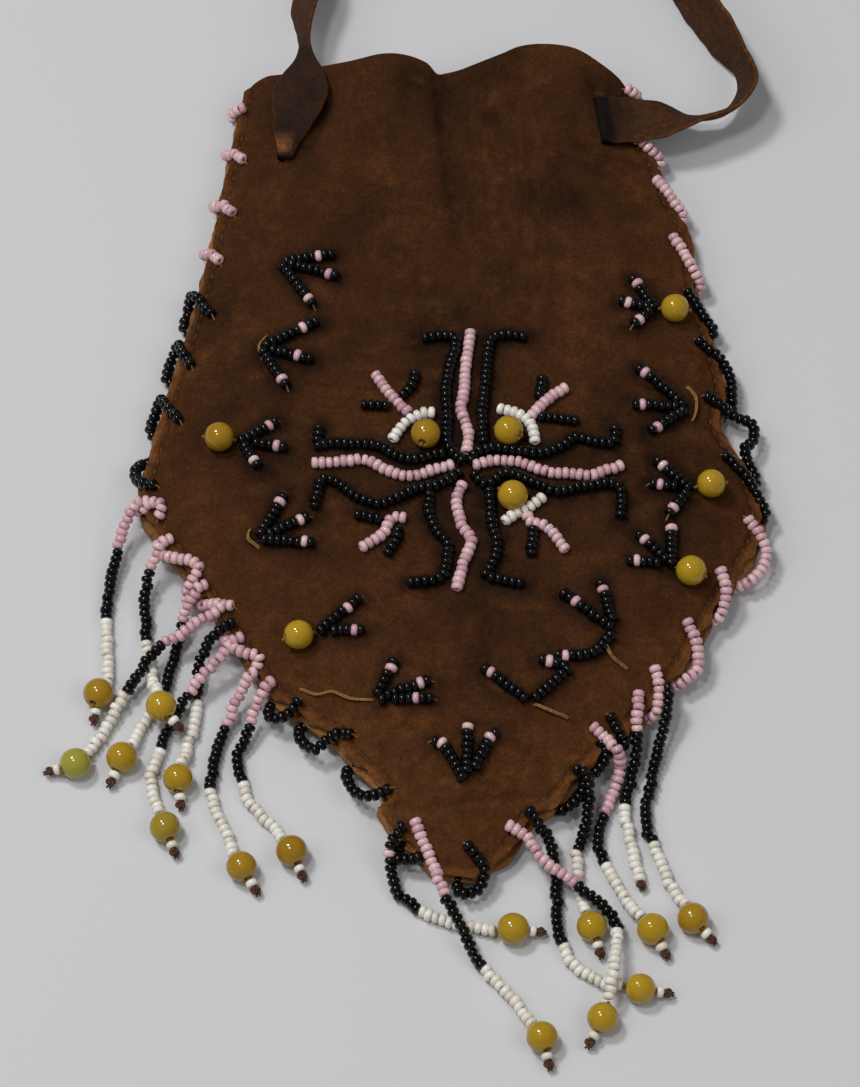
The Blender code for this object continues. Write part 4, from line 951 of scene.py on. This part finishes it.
def glass_group():
    """Beads: a colour of its own for each bead between two tones, faint streaks and dust."""
    tree, given, times, plus, scaled = new_group(
        "bead_glass", {"Pale": GREY, "Deep": GREY, "Gloss": 0.2, "Streak scale": 900.0}
    )
    tone = maths(tree, "POWER", named(tree, "shade"), 1.8)
    streak = plus(noise(tree, given["Streak scale"], 2.0, 0.5), -0.5)
    tone = plus(tone, times(streak, 0.7), clamp=True)
    dust = stepped(tree, noise(tree, 420.0, 3.0, 0.6), 0.52, 0.78)
    colour = mixed(tree, tone, given["Pale"], given["Deep"])
    return give(tree, Colour=colour, Roughness=plus(given["Gloss"], times(dust, 0.10)))


def fibre_group():
    """Thread and knots: twisted strands seen as slanting bands of colour and height."""
    tree, given, *sums = new_group("fibre", {"Colour": GREY, "Twist scale": 2600.0})
    strand = noise(tree, given["Twist scale"], 3.0, 0.6, (1.0, 0.4, 0.7))
    dark = mixed(tree, 1.0, given["Colour"], FIBRE_SHADE, "MULTIPLY")
    colour = mixed(tree, stepped(tree, strand, 0.3, 0.7), dark, given["Colour"])
    return give(tree, Colour=colour, Height=strand)


def new_finish(name, group, sockets, bump=None, **constants):
    """A material whose colour and roughness come from a group, with the shader's own numbers set on it."""
    material, tree, shader = new_material(name)
    sockets = {key: named(tree, value) if isinstance(value, str) else value for key, value in sockets.items()}
    made = add_node(tree, "Group", sockets, node_tree=group)
    tree.links.new(made.outputs["Colour"], shader.inputs["Base Color"])
    if "Roughness" in made.outputs:
        tree.links.new(made.outputs["Roughness"], shader.inputs["Roughness"])
    for key, value in constants.items():
        shader.inputs[key.replace("_", " ")].default_value = value
    if bump:
        sockets = {"Height": made.outputs["Height"], "Strength": bump[0], "Distance": bump[1]}
        tree.links.new(add_node(tree, "Bump", sockets).outputs[0], shader.inputs["Normal"])
    return material


@functools.lru_cache(maxsize=None)
def finishes():
    """Every finish of the purse by its name."""
    colours = bpy.context.scene.purse_colours
    hide, glass, fibre = hide_group(), glass_group(), fibre_group()
    made = {}
    for name, (tones, marks, bump, specular) in HIDES.items():
        tones = {key: getattr(colours, tone) for key, tone in zip(("Colour", "Dark", "Warm"), tones)}
        made[name] = new_finish(name, hide, {**tones, **marks}, bump, Specular_IOR_Level=specular)
    for name, (gloss, specular) in GLASSES.items():
        tones = {"Pale": getattr(colours, name), "Deep": getattr(colours, name + "_deep"), "Gloss": gloss}
        made[name] = new_finish(name + "_glass", glass, tones, Specular_IOR_Level=specular)
    for name in ("yellow", "green_yellow"):
        tones = {"Pale": getattr(colours, name), "Deep": colours.yellow_deep, "Gloss": 0.10,
                 "Streak scale": 260.0}
        made[name] = new_finish(
            name + "_glass", glass, tones,
            Subsurface_Weight=0.3, Subsurface_Scale=0.0015, Subsurface_Radius=(1.0, 0.7, 0.2),
        )
    for name in ("thread", "seam_thread", "knot"):
        tones = {"Colour": getattr(colours, name)}
        made[name] = new_finish(name + "_fibre", fibre, tones, bump=(0.7, 0.0001), Roughness=0.8)
    return made


# The leather

def cut_side(pattern, side, outwards, outset):
    """A side of one panel, moved outwards, with a hand-cut waver of a fifth of a millimetre."""
    line = smooth_line(pattern.place(side), LEATHER_ROWS)
    ahead = directions_of(line)
    square = np.column_stack([-ahead[:, 1], ahead[:, 0]]) * outwards
    run = lengths_along(line, 2)[:, None]
    waver = RIM_WAVE * (np.sin(run * 620 + outset * 2000) + 0.7 * np.sin(run * 1430 + 2 + outset * 900))
    return line + square * (outset + waver) * np.sin(np.linspace(0, math.pi, len(line)))[:, None]**0.25


def leather_grid(pattern, outset):
    """Places from the tip to the mouth between the two sides, closest together along the seams: each row is
    the straight blend of its two sides, and the mouth's own shape is added in proportion to its height."""
    left = cut_side(pattern, LEFT_SIDE, 1, outset)[:, None]
    right = cut_side(pattern, RIGHT_SIDE, -1, outset)[:, None]
    rim = smooth_line(pattern.place(MOUTH), LEATHER_COLUMNS)
    even = np.linspace(0, 1, LEATHER_COLUMNS)
    across = (0.35 * even + 0.65 * (0.5 - 0.5 * np.cos(math.pi * even)))[None, :, None]
    mouth = sampled(rim, even, across.ravel())[None]
    up = np.linspace(0, 1, LEATHER_ROWS)[:, None, None]
    straight_top = (1 - across) * left[-1:] + across * right[-1:]
    return (1 - across) * left + across * right + up * (mouth - straight_top)


def add_cut(pattern, name, middle, size, turn, sides):
    """A prism that cuts through the front, and is removed once it has."""
    corners = unit(np.array([heading_vector(45 + 360 * k / sides) for k in range(sides)]))
    if sides == 4:
        corners = corners * math.sqrt(2)
    corners = corners * np.asarray(size) / 2
    flat = middle + corners[:, :1] * heading_vector(turn) + corners[:, 1:] * heading_vector(turn + 90)
    height = float(pattern.front(*middle))
    ends = (height - CUT_REACH, height + CUT_REACH)
    rings = np.stack([np.column_stack([flat, np.full(sides, end)]) for end in ends])
    return put(name, mesh_of(name, *skin(rings)))


def add_leather(pattern, node, height, facing_up, outset, cuts):
    """One panel: its outer face on the grid, a wall of the leather's thickness and its cuts."""
    grid = leather_grid(pattern, outset)
    rows, columns = grid.shape[:2]
    x, y = grid[..., 0], grid[..., 1]
    first = (np.arange(rows - 1)[:, None] * columns + np.arange(columns - 1)).ravel()
    faces = np.stack([first, first + 1, first + 1 + columns, first + columns], axis=1)
    faces = faces if facing_up else faces[:, ::-1]
    points = np.dstack([x, y, height(x, y)])
    work = put(node, mesh_of(node, points, [faces], ("suede", "raw_edge", "flesh_side")))
    wall = work.modifiers.new("leather", "SOLIDIFY")
    wall.thickness = pattern.sizes.leather
    wall.offset = -1
    wall.material_offset = FLESH
    wall.material_offset_rim = RAW
    for cut in cuts:
        step = work.modifiers.new(cut.name, "BOOLEAN")
        step.object, step.operation, step.solver = cut, "DIFFERENCE", "EXACT"
    graph = bpy.context.evaluated_depsgraph_get()
    mesh = bpy.data.meshes.new_from_object(work.evaluated_get(graph))
    for item in [work, *cuts]:
        bpy.data.objects.remove(item, do_unlink=True)
    places = np.zeros(len(mesh.vertices) * 3)
    mesh.vertices.foreach_get("co", places)
    for name, values in leather_marks(pattern, places.reshape(-1, 3)[:, :2]).items():
        mark(mesh, name, values)
    settle(node.replace("panel", "leather"), mesh, node)
    mesh.set_sharp_from_angle(angle=math.radians(50))


def spots(pattern, places, table, power=1):
    """The sum of a table's spots, each strength * exp(-r^2), or exp(-r^4) with a power of 2."""
    total = np.zeros(len(places))
    for middle_x, middle_y, reach_x, reach_y, strength in np.array(table) / 100:
        away = np.sum(((places / pattern.half - (middle_x, middle_y)) / (reach_x, reach_y))**2, axis=1)
        total = total + strength * np.exp(-away**power)
    return total


def leather_marks(pattern, places):
    """The darkening mark: the dark spots of stains, one of which is a painted shadow of the folded corner by
    the slit, painted shade in the creases and the seam's groove, painted shade round the black beads and the
    painted shadow beside the thong's pointed end. Wear: the rim outside the seam, tan except near the mouth,
    and more towards the tip."""
    x, y = places.T
    half_length = pattern.half[1]
    seam = pattern.seam_distance(x, y)
    low = ease((LOW_FROM_SHARE * half_length - y) / (LOW_REACH_SHARE * half_length))
    bare = 0.25 + 0.75 * ease(1 - y / (RIM_TOP_SHARE * half_length))
    wear = EDGE_WEAR * np.exp(-(seam / EDGE_WEAR_REACH)**2) + RIM_WEAR * bare * np.exp(-(seam / RIM_REACH)**2)
    wear = wear + TIP_WEAR * low
    stain_and_shade = spots(pattern, places, STAINS_AND_SHADOW) * (1 - 0.5 * low)
    # Painted shade: darker in the creases, by their depth, and along the seam's groove
    stain_and_shade = stain_and_shade - CREASE_SHADE * np.minimum(pattern.creases(x, y) + SLOW_WAVE, 0)
    stain_and_shade = stain_and_shade + SEAM_GROOVE_SHADE * np.exp(-((seam - STITCH_INSET) / SEAM_GROOVE_REACH)**2)
    # Painted shadow: the leather is darkened along a line beside the thong's pointed end, as the shadow of
    # the lifted thong
    rubbed = nearest_of(places, smooth_line(pattern.place(LEAF_SHADOW_LINE), LEAF_SHADOW_POINTS))
    stain_and_shade = stain_and_shade + DEEPEST_DARKENING * np.exp(-(rubbed / LEAF_SHADOW_REACH)**2)
    # Painted shade round the black beads of the cross and the tracks
    rows = [cross_row(pattern, row, BLACK_BEAD_SHADE_POINTS) for row in BLACK_ROWS]
    for heel, large, after, *toes in TRACKS.values():
        rows += [toe_row(pattern, heel, large, toe, BLACK_BEAD_SHADE_POINTS) for toe in toes]
    stain_and_shade = stain_and_shade + BLACK_BEAD_SHADE * np.exp(-(nearest_of(places, np.vstack(rows)) / BLACK_BEAD_SHADE_REACH)**2)
    wrinkles = spots(pattern, places, WRINKLES, 2)
    return {"stain_and_shade": np.clip(stain_and_shade, 0, DEEPEST_DARKENING), "wear": np.clip(wear, 0, 1), "wrinkles": wrinkles}


class PURSE_OT_leather(bpy.types.Operator):
    """Make the front and back leathers, with the hole and the slit in the front"""

    bl_idname = "purse.leather"
    bl_label = "Leather"

    def execute(self, context):
        sizes = context.scene.purse_sizes
        pattern = Pattern(sizes)
        hole, slit = pattern.place(HOLE_AND_SLIT)
        round_size = math.hypot(PINCHED_WIDTH, sizes.thong_thickness) + 2 * CLEARANCE
        slot_size = (SLIT_LENGTH, sizes.thong_thickness + 2 * CLEARANCE)
        cuts = [
            add_cut(pattern, "hole_cut", hole, (round_size, round_size), 0, 18),
            add_cut(pattern, "slit_cut", slit, slot_size, SLIT_HEADING, 4),
        ]
        add_leather(pattern, "front_panel", pattern.front, True, 0, cuts)
        add_leather(pattern, "back_panel", pattern.back, False, RIM_OUTSET, [])
        return {"FINISHED"}


# The thong

def ribbon(middles, across, ahead, widths, thickness):
    """A flat strip: at each station an oblong of the given width and thickness with rounded corners, drawn as
    half the width times cos(t) and half the thickness times sin(t), both to a low power, with signs kept."""
    turn = full_turn(RIBBON_AROUND)
    wide = np.sign(np.cos(turn)) * np.abs(np.cos(turn))**0.34
    thick = np.sign(np.sin(turn)) * np.abs(np.sin(turn))**0.6
    normal = unit(np.cross(ahead, across))
    return (middles[:, None] + (widths[:, None] / 2 * wide)[..., None] * across[:, None]
            + thickness / 2 * thick[None, :, None] * normal[:, None])


def strap_stations(sizes):
    """Stations of the free loop: its middle, the directions across and along it and its width."""
    line = smooth_line(np.array(STRAP_ROUTE) / STRAP_UNITS, STRAP_STATIONS)
    middles = line[:, :3]
    ahead = directions_of(middles)
    level = unit(np.cross(ahead, (0, 0, 1)))
    up = np.cross(level, ahead)
    turn = np.radians(line[:, 4])[:, None]
    across = np.cos(turn) * level + np.sin(turn) * up
    return middles, across, ahead, evened(line[:, 3], WIDTH_EVENING) * sizes.thong_width


def evened(values, reach):
    """Each value becomes the mean of those around it, weighed by exp(-(steps away / reach)^2)."""
    steps = np.arange(-2 * reach, 2 * reach + 1)
    weights = np.exp(-(steps / reach)**2)
    return np.convolve(np.pad(values, 2 * reach, mode="edge"), weights / weights.sum(), "valid")


def add_ribbon(name, node, rings, wear, stain_and_shade):
    """A strip's object, with the marks that show where it is rubbed and where it is painted dark as shade."""
    mesh = mesh_of(name, *skin(rings), ["thong_grain"])
    for mark_name, values in (("wear", wear), ("stain_and_shade", stain_and_shade)):
        mark(mesh, mark_name, np.broadcast_to(np.clip(values, 0, DEEPEST_DARKENING), rings.shape[:2]))
    return settle(name, mesh, node, rides=node != "strap")


class PURSE_OT_thong(bpy.types.Operator):
    """Make the thong: its free loop, which is a cord, and its stretch inside the purse"""

    bl_idname = "purse.thong"
    bl_label = "Thong"

    def execute(self, context):
        sizes = context.scene.purse_sizes
        pattern = Pattern(sizes)
        middles, across, ahead, widths = strap_stations(sizes)
        run = lengths_along(middles)
        wave = 1 + 0.03 * np.sin(run * 420) + 0.02 * np.sin(run * 1130 + 1)
        rings = ribbon(middles, across, ahead, widths * wave, sizes.thong_thickness)
        turn = full_turn(RIBBON_AROUND)[None]
        rim = 0.5 * np.abs(np.cos(turn))**10
        loop = ease((run - LOOP_FROM) / LOOP_EASE_IN) * ease((run[-1] - LOOP_TO_END - run) / LOOP_EASE_OUT)
        patch = ease((run - PATCH_FROM) / PATCH_EASE_IN) * ease((PATCH_TO - run) / PATCH_EASE_OUT)
        # Painted shadow: the last few millimetres before the slit take the near-black thong colour, as the
        # shadow in the opened slit, and lose their wear
        shade = ease((run - run[-1] + SLIT_SHADE) / (SLIT_SHADE / 4))[:, None]
        rubbed = LOOP_WEAR * loop[:, None] + rim + PATCH_WEAR * patch[:, None] * (-np.cos(turn) > -0.3)
        wear = rubbed * (1 - shade)
        buried = np.array([0, 0, -BURIED_END])
        rings = np.concatenate([rings[:1] + buried, rings, rings[-1:] + buried])
        wear, shade = (np.concatenate([marks[:1], marks, marks[-1:]]) for marks in (wear, shade))
        strap = add_ribbon("strap_thong", "strap", rings, wear, DEEPEST_DARKENING * shade)
        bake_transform(strap)
        rings = ribbon(*inner_run(pattern), sizes.thong_thickness)
        # The hidden stretch is darkened towards the slit's painted-shadow colour by a share of 0.8
        add_ribbon("strap_inner_thong", "strap_inner_run", rings, 0.3 * rim, 0.8)
        return {"FINISHED"}


def dive(pattern, flat, towards, across, width):
    """The stations that take the thong down through the front and on beneath it, by shares of its thickness
    forwards and of the drop downwards."""
    thick = pattern.sizes.thong_thickness
    drop = pattern.sizes.leather + 2 * CLEARANCE + thick / 2
    ahead, down = np.array([*towards, 0]), np.array([0, 0, -1.0])
    start = np.array([*flat, float(pattern.front(*flat)) - CLEARANCE / 6])
    runs = (down, down, unit(ahead + down), ahead)
    return [
        (start + forward * thick * ahead + depth * drop * down, across, run, width)
        for (forward, depth), run in zip(DIVE_SHARES, runs)
    ]


def inner_run(pattern):
    """The hidden stretch: down through the hole, on under the front and up through the slit."""
    hole, slit = pattern.place(HOLE_AND_SLIT)
    ahead = unit(slit - hole)
    at_hole = np.array([-ahead[1], ahead[0], 0])
    at_slit = np.array([*heading_vector(SLIT_HEADING), 0])
    wide = pattern.sizes.thong_width
    stations = dive(pattern, hole, ahead, at_hole, PINCHED_WIDTH)
    finish = dive(pattern, slit, -ahead, at_slit, wide)
    first, last = stations[-1][0][:2], finish[-1][0][:2]
    below = pattern.sizes.leather + 2.5 * CLEARANCE + pattern.sizes.thong_thickness / 2
    for share in np.linspace(0, 1, INNER_RUN_STATIONS)[1:-1]:
        flat = first + share * (last - first)
        across = unit((1 - share) * at_hole + share * at_slit)
        width = PINCHED_WIDTH + (wide - PINCHED_WIDTH) * float(ease(share / WIDENING_SHARE))
        reach = np.array([flat + side * width * across[:2] for side in (-0.5, 0, 0.5)])
        height = float(pattern.front(reach[:, 0], reach[:, 1]).min()) - below
        stations.append((np.array([*flat, height]), across, np.array([*ahead, 0]), width))
    stations += [(middle, across, -run, width) for middle, across, run, width in finish[::-1]]
    return [np.array(column) for column in zip(*stations)]


# Sewing, beads and fringe

class PURSE_OT_seam(bpy.types.Operator):
    """Sew both sides: a stitch of golden thread over each leather and one across between them"""

    bl_idname = "purse.seam"
    bl_label = "Seam"

    def execute(self, context):
        sizes = context.scene.purse_sizes
        pattern = Pattern(sizes)
        piece = Piece("seam_thread")
        steps = np.linspace(0, 1, STITCH_POINTS)
        arch = STITCH_RISE * np.sin(steps * math.pi)
        for side, line in pattern.sides.items():
            run = lengths_along(line, 2)
            seam = np.array([pattern.edge(side, y, STITCH_INSET) for y in line[:, 1]])
            for start in np.arange(STITCH_PITCH * 2, run[-1] - STITCH_PITCH, STITCH_PITCH):
                reach = start + (steps * STITCH_SHARE + 0.04 * piece.random.normal()) * STITCH_PITCH
                above = pattern.on_front(sampled(seam, run, reach), arch - sizes.thread / 2.5)
                piece.thread(above, sizes.thread * STITCH_THREAD_SHARE, "seam_thread")
                flat = sampled(seam, run, reach + STITCH_PITCH / 2)
                under = pattern.back(flat[:, 0], flat[:, 1]) - arch + sizes.thread / 2
                piece.thread(np.column_stack([flat, under]), sizes.thread / 2, "seam_thread")
                flat = sampled(seam, run, np.array([start, start]))
                ends = (pattern.front(*flat[0]), pattern.back(*flat[0]))
                piece.thread(np.column_stack([flat, ends]), sizes.thread / 2, "seam_thread")
        piece.build("seam_stitching")
        return {"FINISHED"}


def add_large_bead(piece, place, ahead, sizes, finish="yellow"):
    """A yellow bead with its bore along the heading and the thread that holds it."""
    ahead = np.asarray(ahead, float)[None]
    piece.copies(large_bead(sizes.large_bead), place[None], ahead, finish, lean=0.05, spread=0.02)
    reach = sizes.large_bead / 2 * 1.12
    steps = np.linspace(-1, 1, 9)[:, None]
    piece.thread(place + steps * reach * unit(ahead) - steps**4 * (0, 0, THREAD_SAG), sizes.thread)


def sew_large_bead(pattern, name, node, flat, heading, tilt):
    """A yellow bead that rests on the front, as a piece of its own."""
    piece = Piece(name)
    height = float(pattern.front(*flat)) + pattern.sizes.large_bead / 2 - BEAD_SEAT
    add_large_bead(piece, np.array([*flat, height]), (*heading_vector(heading), tilt), pattern.sizes)
    piece.build(node)


def cross_row(pattern, hundredths, count=ROW_POINTS):
    flat = pattern.place(CROSS_MIDDLE) + np.reshape(hundredths, (-1, 2)) / 100 * CROSS_REACH
    return smooth_line(flat, count) if count > 1 else flat[0]


def toe_row(pattern, heel, large, legs, count=TOE_POINTS):
    """One toe of a track: straight legs from its heel, joined by a smooth curve."""
    from_heel = TOES_FROM_HEEL_SHARE if large is None else TOES_FROM_LARGE_SHARE
    places = [pattern.place(heel)[0] + from_heel * pattern.bead * heading_vector(legs[0])]
    for heading, beads in zip(legs[::2], legs[1::2]):
        places.append(places[-1] + beads * pattern.sizes.bead_pitch * heading_vector(heading))
    return smooth_line(np.array(places), count)


class PURSE_OT_cross(bpy.types.Operator):
    """Sew the beaded cross with its four pink arms, black outline, sprays and yellow beads"""

    bl_idname = "purse.cross"
    bl_label = "Cross"

    def execute(self, context):
        sizes = context.scene.purse_sizes
        pattern = Pattern(sizes)
        strung = []
        groups = [(node, [("pink", *row)], strung, "pink_beads") for node, row in PINK_ARMS.items()]
        groups.append(("cross_black_outline", [("black", *row) for row in BLACK_ROWS], strung, "black_beads"))
        for node, rows in SPRAYS.items():
            groups.append((node, sorted(rows, key=lambda row: row[0] != "white"), [], "pink_beads"))
        for node, rows, taken, slot in groups:
            piece = Piece(node + "_beads")
            lines = [(pattern.on_front(cross_row(pattern, row)), plain(colour)) for colour, *row in rows]
            string_beads(piece, lines, sizes, taken)
            piece.build(node)
        for node, (*share, heading) in CROSS_LARGE.items():
            sew_large_bead(pattern, node + "_glass", node, cross_row(pattern, share, 1), heading, 0.25)
        return {"FINISHED"}


class PURSE_OT_tracks(bpy.types.Operator):
    """Sew the thirteen tracks: three toes of black beads, or two on two of them, each with one pink bead, and
    some yellow heels
    """

    bl_idname = "purse.tracks"
    bl_label = "Tracks"

    def execute(self, context):
        sizes = context.scene.purse_sizes
        pattern = Pattern(sizes)
        for node, (heel, large, after, *toes) in TRACKS.items():
            piece = Piece(node + "_beads")
            rows = []
            for toe, following in zip(toes, after):
                line = pattern.on_front(toe_row(pattern, heel, large, toe))
                rows.append((line, toe_colours(following)))
                if piece.random.random() < TIED_OFF_SHARE:
                    piece.bury(line[-1], line[-6], TIE_REACH, TIE_DEPTH, sizes.thread)
            string_beads(piece, rows, sizes, [])
            if node in LOOSE_THREADS:
                flat = smooth_line(pattern.place(LOOSE_THREADS[node]), LOOSE_POINTS)
                lift = LOOSE_LIFT * np.sin(np.linspace(0, math.pi, LOOSE_POINTS))**0.7
                strand = pattern.on_front(flat, sizes.thread / 3 + lift)
                for shift in ((0, 0, 0), (0.0003, 0.0002, 0.0001)):
                    piece.thread(strand + shift, sizes.thread * 0.45)
            piece.build(node)
            if large is not None:
                flat = pattern.place(heel)[0] + LARGE_FROM_HEEL * heading_vector(large)
                sew_large_bead(pattern, node + "_yellow_glass", node + "_yellow_bead", flat, large, 0.12)
        return {"FINISHED"}


class PURSE_OT_edges(bpy.types.Operator):
    """Whip the beads over the sewn edges, in pink and in black"""

    bl_idname = "purse.edges"
    bl_label = "Edge beads"

    def execute(self, context):
        sizes = context.scene.purse_sizes
        pattern = Pattern(sizes)
        for node, (colour, *whips) in EDGE_WHIPS.items():
            piece = Piece(node + "_strung")
            rows = []
            for whip in whips:
                points = np.reshape(whip, (-1, 3)) / LEVELLED * (*pattern.half, LEVEL_REACH)
                whip = smooth_line(points, ROW_POINTS)
                line = pattern.round_the_edge(whip[:, :2], np.clip(whip[:, 2] / LEVEL_REACH, -1, 1))
                rows.append((line, plain(colour)))
                piece.bury(line[0], line[5], BURY_REACH, BURY_DEPTH, sizes.thread)
            if node in FRONT_ROOTS:
                line = pattern.on_front(smooth_line(pattern.place(FRONT_ROOTS[node]), ROOT_POINTS))
                rows.insert(0, (line, plain("pink")))
            string_beads(piece, rows, sizes, [])
            piece.build(node)
        return {"FINISHED"}


class PURSE_OT_fringe(bpy.types.Operator):
    """String the sixteen strands of the fringe, each with its knot, and all but one with a yellow bead and an
    end bead
    """

    bl_idname = "purse.fringe"
    bl_label = "Fringe"

    def execute(self, context):
        sizes = context.scene.purse_sizes
        pattern = Pattern(sizes)
        half, pitch = sizes.large_bead / 2, sizes.bead_pitch
        for node, (side, root, inset, tail, bands, free) in FRINGE.items():
            piece = Piece(node + "_strung")
            line = strand_line(pattern, node, side, root, inset, free)
            end, run = line[-1], unit(line[-1] - line[-8])
            knot_from = 0.0
            if tail is not None:
                before, run = run, unit(np.array([*heading_vector(tail), -TAIL_SLOPE]))
                lengths = lengths_along(line)
                line = line[lengths < lengths[-1] - half - pitch * BALL_GAP_SHARE]
                finish = "green_yellow" if node in GREENISH_STRANDS else "yellow"
                add_large_bead(piece, end, unit(before + run), sizes, finish)
                white = end + (half + pitch * END_BEAD_SHARE) * run
                white[2] = max(white[2], FLOOR_SHARE * sizes.bead)
                piece.copies(small_bead(sizes.bead, pitch), white[None], run[None], "white")
                knot_from = half + pitch * KNOT_FROM_SHARE
            string_beads(piece, [(line, strand_colours(bands))], sizes, [], STRAND_WANDER)
            middle = end + (knot_from + KNOT_RING + KNOT_LOOP) * run
            middle[2] = max(middle[2], KNOT_RING + KNOT_LOOP + KNOT_CORD)
            tie_knot(piece, middle, run, sizes.thread)
            piece.thread(line[::4], sizes.thread, "knot")
            piece.build(node)
        return {"FINISHED"}


def strand_line(pattern, node, side, root, inset, free):
    """The strand's thread: from its root on the front, over the edge and through its free points."""
    y = root / 1000 * pattern.half[1]
    if node in STRAND_STARTS:
        start, outer = pattern.place(STRAND_STARTS[node])
    else:
        start = pattern.edge(side, y, inset * pattern.sizes.bead_pitch)
        outer = pattern.edge(side, y, -STRAND_OUTSET_SHARE * pattern.bead)
    roots = pattern.round_the_edge(np.array([start, outer]), np.ones(2))
    free = np.reshape(free, (-1, 3)) / LEVELLED
    heights = pattern.bead / 2 + free[:, 2] * (pattern.bead + CLEARANCE)
    if free[-1, 2]:
        heights[-1] = max(heights[-1], pattern.sizes.large_bead / 2)
    line = np.vstack([roots, np.column_stack([free[:, :2] * pattern.half, heights])])
    line = smooth_line(line, STRAND_POINTS)
    line[:, 2] = np.maximum(line[:, 2], FLOOR_SHARE * pattern.bead)
    return line


def tie_knot(piece, middle, run, thread):
    """A small knot: a cord that turns twice round a ring while it dips through it three times,
    ((R + r cos 3t) cos 2t, (R + r cos 3t) sin 2t, r sin 3t), and two frayed ends."""
    turn = full_turn(KNOT_POINTS) + piece.random.random()
    reach = KNOT_RING + KNOT_LOOP * np.cos(3 * turn)
    coil = np.column_stack([reach * np.cos(2 * turn), reach * np.sin(2 * turn), KNOT_LOOP * np.sin(3 * turn)])
    side = unit(np.cross(run, (0.1, 0.2, 1)))
    coil = middle + coil @ np.array([side, run, np.cross(side, run)])
    coil[:, 2] = np.maximum(coil[:, 2], KNOT_CORD)
    piece.thread(np.vstack([coil, coil[:2]]), KNOT_CORD, "knot")
    steps = np.linspace(0, 1, 6)[:, None]
    for lean in (-0.5, 0.6):
        end = middle + run * FRAYED_END * steps + side * lean * 0.0007 * steps**1.5 - (0, 0, 0.0002) * steps
        end[:, 2] = np.maximum(end[:, 2], thread)
        piece.thread(end, thread * 0.6, "knot")


# The stage

class PURSE_OT_stage(bpy.types.Operator):
    """Lay the table and set the camera and the soft lamps"""

    bl_idname = "purse.stage"
    bl_label = "Stage"

    def execute(self, context):
        scene = context.scene
        corners = [(x * FLOOR_HALF, y * FLOOR_HALF, 0) for x, y in ((-1, -1), (1, -1), (1, 1), (-1, 1))]
        mesh = mesh_of("floor", corners, [np.array([[0, 1, 2, 3]])])
        mesh.materials.append(self.table_top(scene.purse_colours.floor))
        put("floor", mesh)
        for name, (place, size, power, gleams) in LAMPS.items():
            lamp = bpy.data.lights.new(name, "AREA")
            lamp.shape, lamp.size, lamp.energy = "DISK", size, power
            item = put(name, lamp)
            item.location = place
            item.visible_glossy = gleams
            item.rotation_euler = (-Vector(place)).to_track_quat("-Z", "Y").to_euler()
        scene.world = bpy.data.worlds.new("room")
        scene.world.use_nodes = True
        tree = scene.world.node_tree
        light = tree.nodes["Background"]
        light.inputs["Color"].default_value = SKY
        light.inputs["Strength"].default_value = AMBIENT
        seen = add_node(tree, "Background", {"Color": ROOM})
        self.for_camera(tree, 1.0, light, seen, "World Output")
        scene.view_settings.view_transform = "Standard"
        self.set_camera(scene)
        return {"FINISHED"}

    def for_camera(self, tree, share, first, second, output):
        """Camera rays meet the second shader by its share, and all other light meets the first."""
        seen = maths(tree, "MULTIPLY", share, add_node(tree, "LightPath").outputs["Is Camera Ray"])
        both = add_node(tree, "MixShader", {0: seen, 1: first.outputs[0], 2: second.outputs[0]})
        tree.links.new(both.outputs[0], tree.nodes[output].inputs["Surface"])

    def table_top(self, colour):
        """The table, which far from the purse takes the pale room's colour for the camera."""
        material, tree, shader = new_material("table_top")
        for key, value in (("Base Color", colour), ("Roughness", 0.7), ("Specular IOR Level", 0.2)):
            shader.inputs[key].default_value = value
        place = add_node(tree, "TexCoord").outputs["Object"]
        far = add_node(tree, "VectorMath", {0: place}, operation="LENGTH").outputs["Value"]
        glow = add_node(tree, "Emission", {"Color": ROOM})
        self.for_camera(tree, stepped(tree, far, *FADE_REACH), shader, glow, "Material Output")
        return material

    def set_camera(self, scene):
        """The camera looks at its aim, and its picture's way across is the given one."""
        camera = bpy.data.cameras.new("camera")
        camera.sensor_fit = "VERTICAL"
        camera.sensor_height = SENSOR_HEIGHT
        camera.lens = CAMERA_LENS
        place = Vector(CAMERA_PLACE)
        back = (place - Vector(CAMERA_AIM)).normalized()
        across = Vector(CAMERA_ACROSS)
        across = (across - across.dot(back) * back).normalized()
        turn = Matrix([across, back.cross(across), back]).transposed()
        scene.camera = put("camera", camera)
        scene.camera.matrix_world = Matrix.Translation(place) @ turn.to_4x4()


OPERATORS = (
    PURSE_OT_stage, PURSE_OT_thong, PURSE_OT_leather, PURSE_OT_seam, PURSE_OT_cross, PURSE_OT_tracks,
    PURSE_OT_edges, PURSE_OT_fringe,
)


class PURSE_PT_panel(bpy.types.Panel):
    """The purse's steps, sizes and colours in the sidebar"""

    bl_label = "Beaded leather purse"
    bl_space_type = "VIEW_3D"
    bl_region_type = "UI"
    bl_category = "Purse"

    def draw(self, context):
        for operator in OPERATORS:
            self.layout.operator(operator.bl_idname)
        for group in (context.scene.purse_sizes, context.scene.purse_colours):
            box = self.layout.box()
            for name in group.bl_rna.properties.keys():
                if name not in ("rna_type", "name"):
                    box.prop(group, name)


CLASSES = (PurseSizes, PurseColours, *OPERATORS, PURSE_PT_panel)


def register():
    for kind in CLASSES:
        bpy.utils.register_class(kind)
    bpy.types.Scene.purse_sizes = PointerProperty(type=PurseSizes)
    bpy.types.Scene.purse_colours = PointerProperty(type=PurseColours)


def unregister():
    del bpy.types.Scene.purse_colours
    del bpy.types.Scene.purse_sizes
    for kind in reversed(CLASSES):
        bpy.utils.unregister_class(kind)


def main():
    register()
    for operator in OPERATORS:
        family, name = operator.bl_idname.split(".")
        getattr(getattr(bpy.ops, family), name)()


if __name__ == "__main__":
    main()
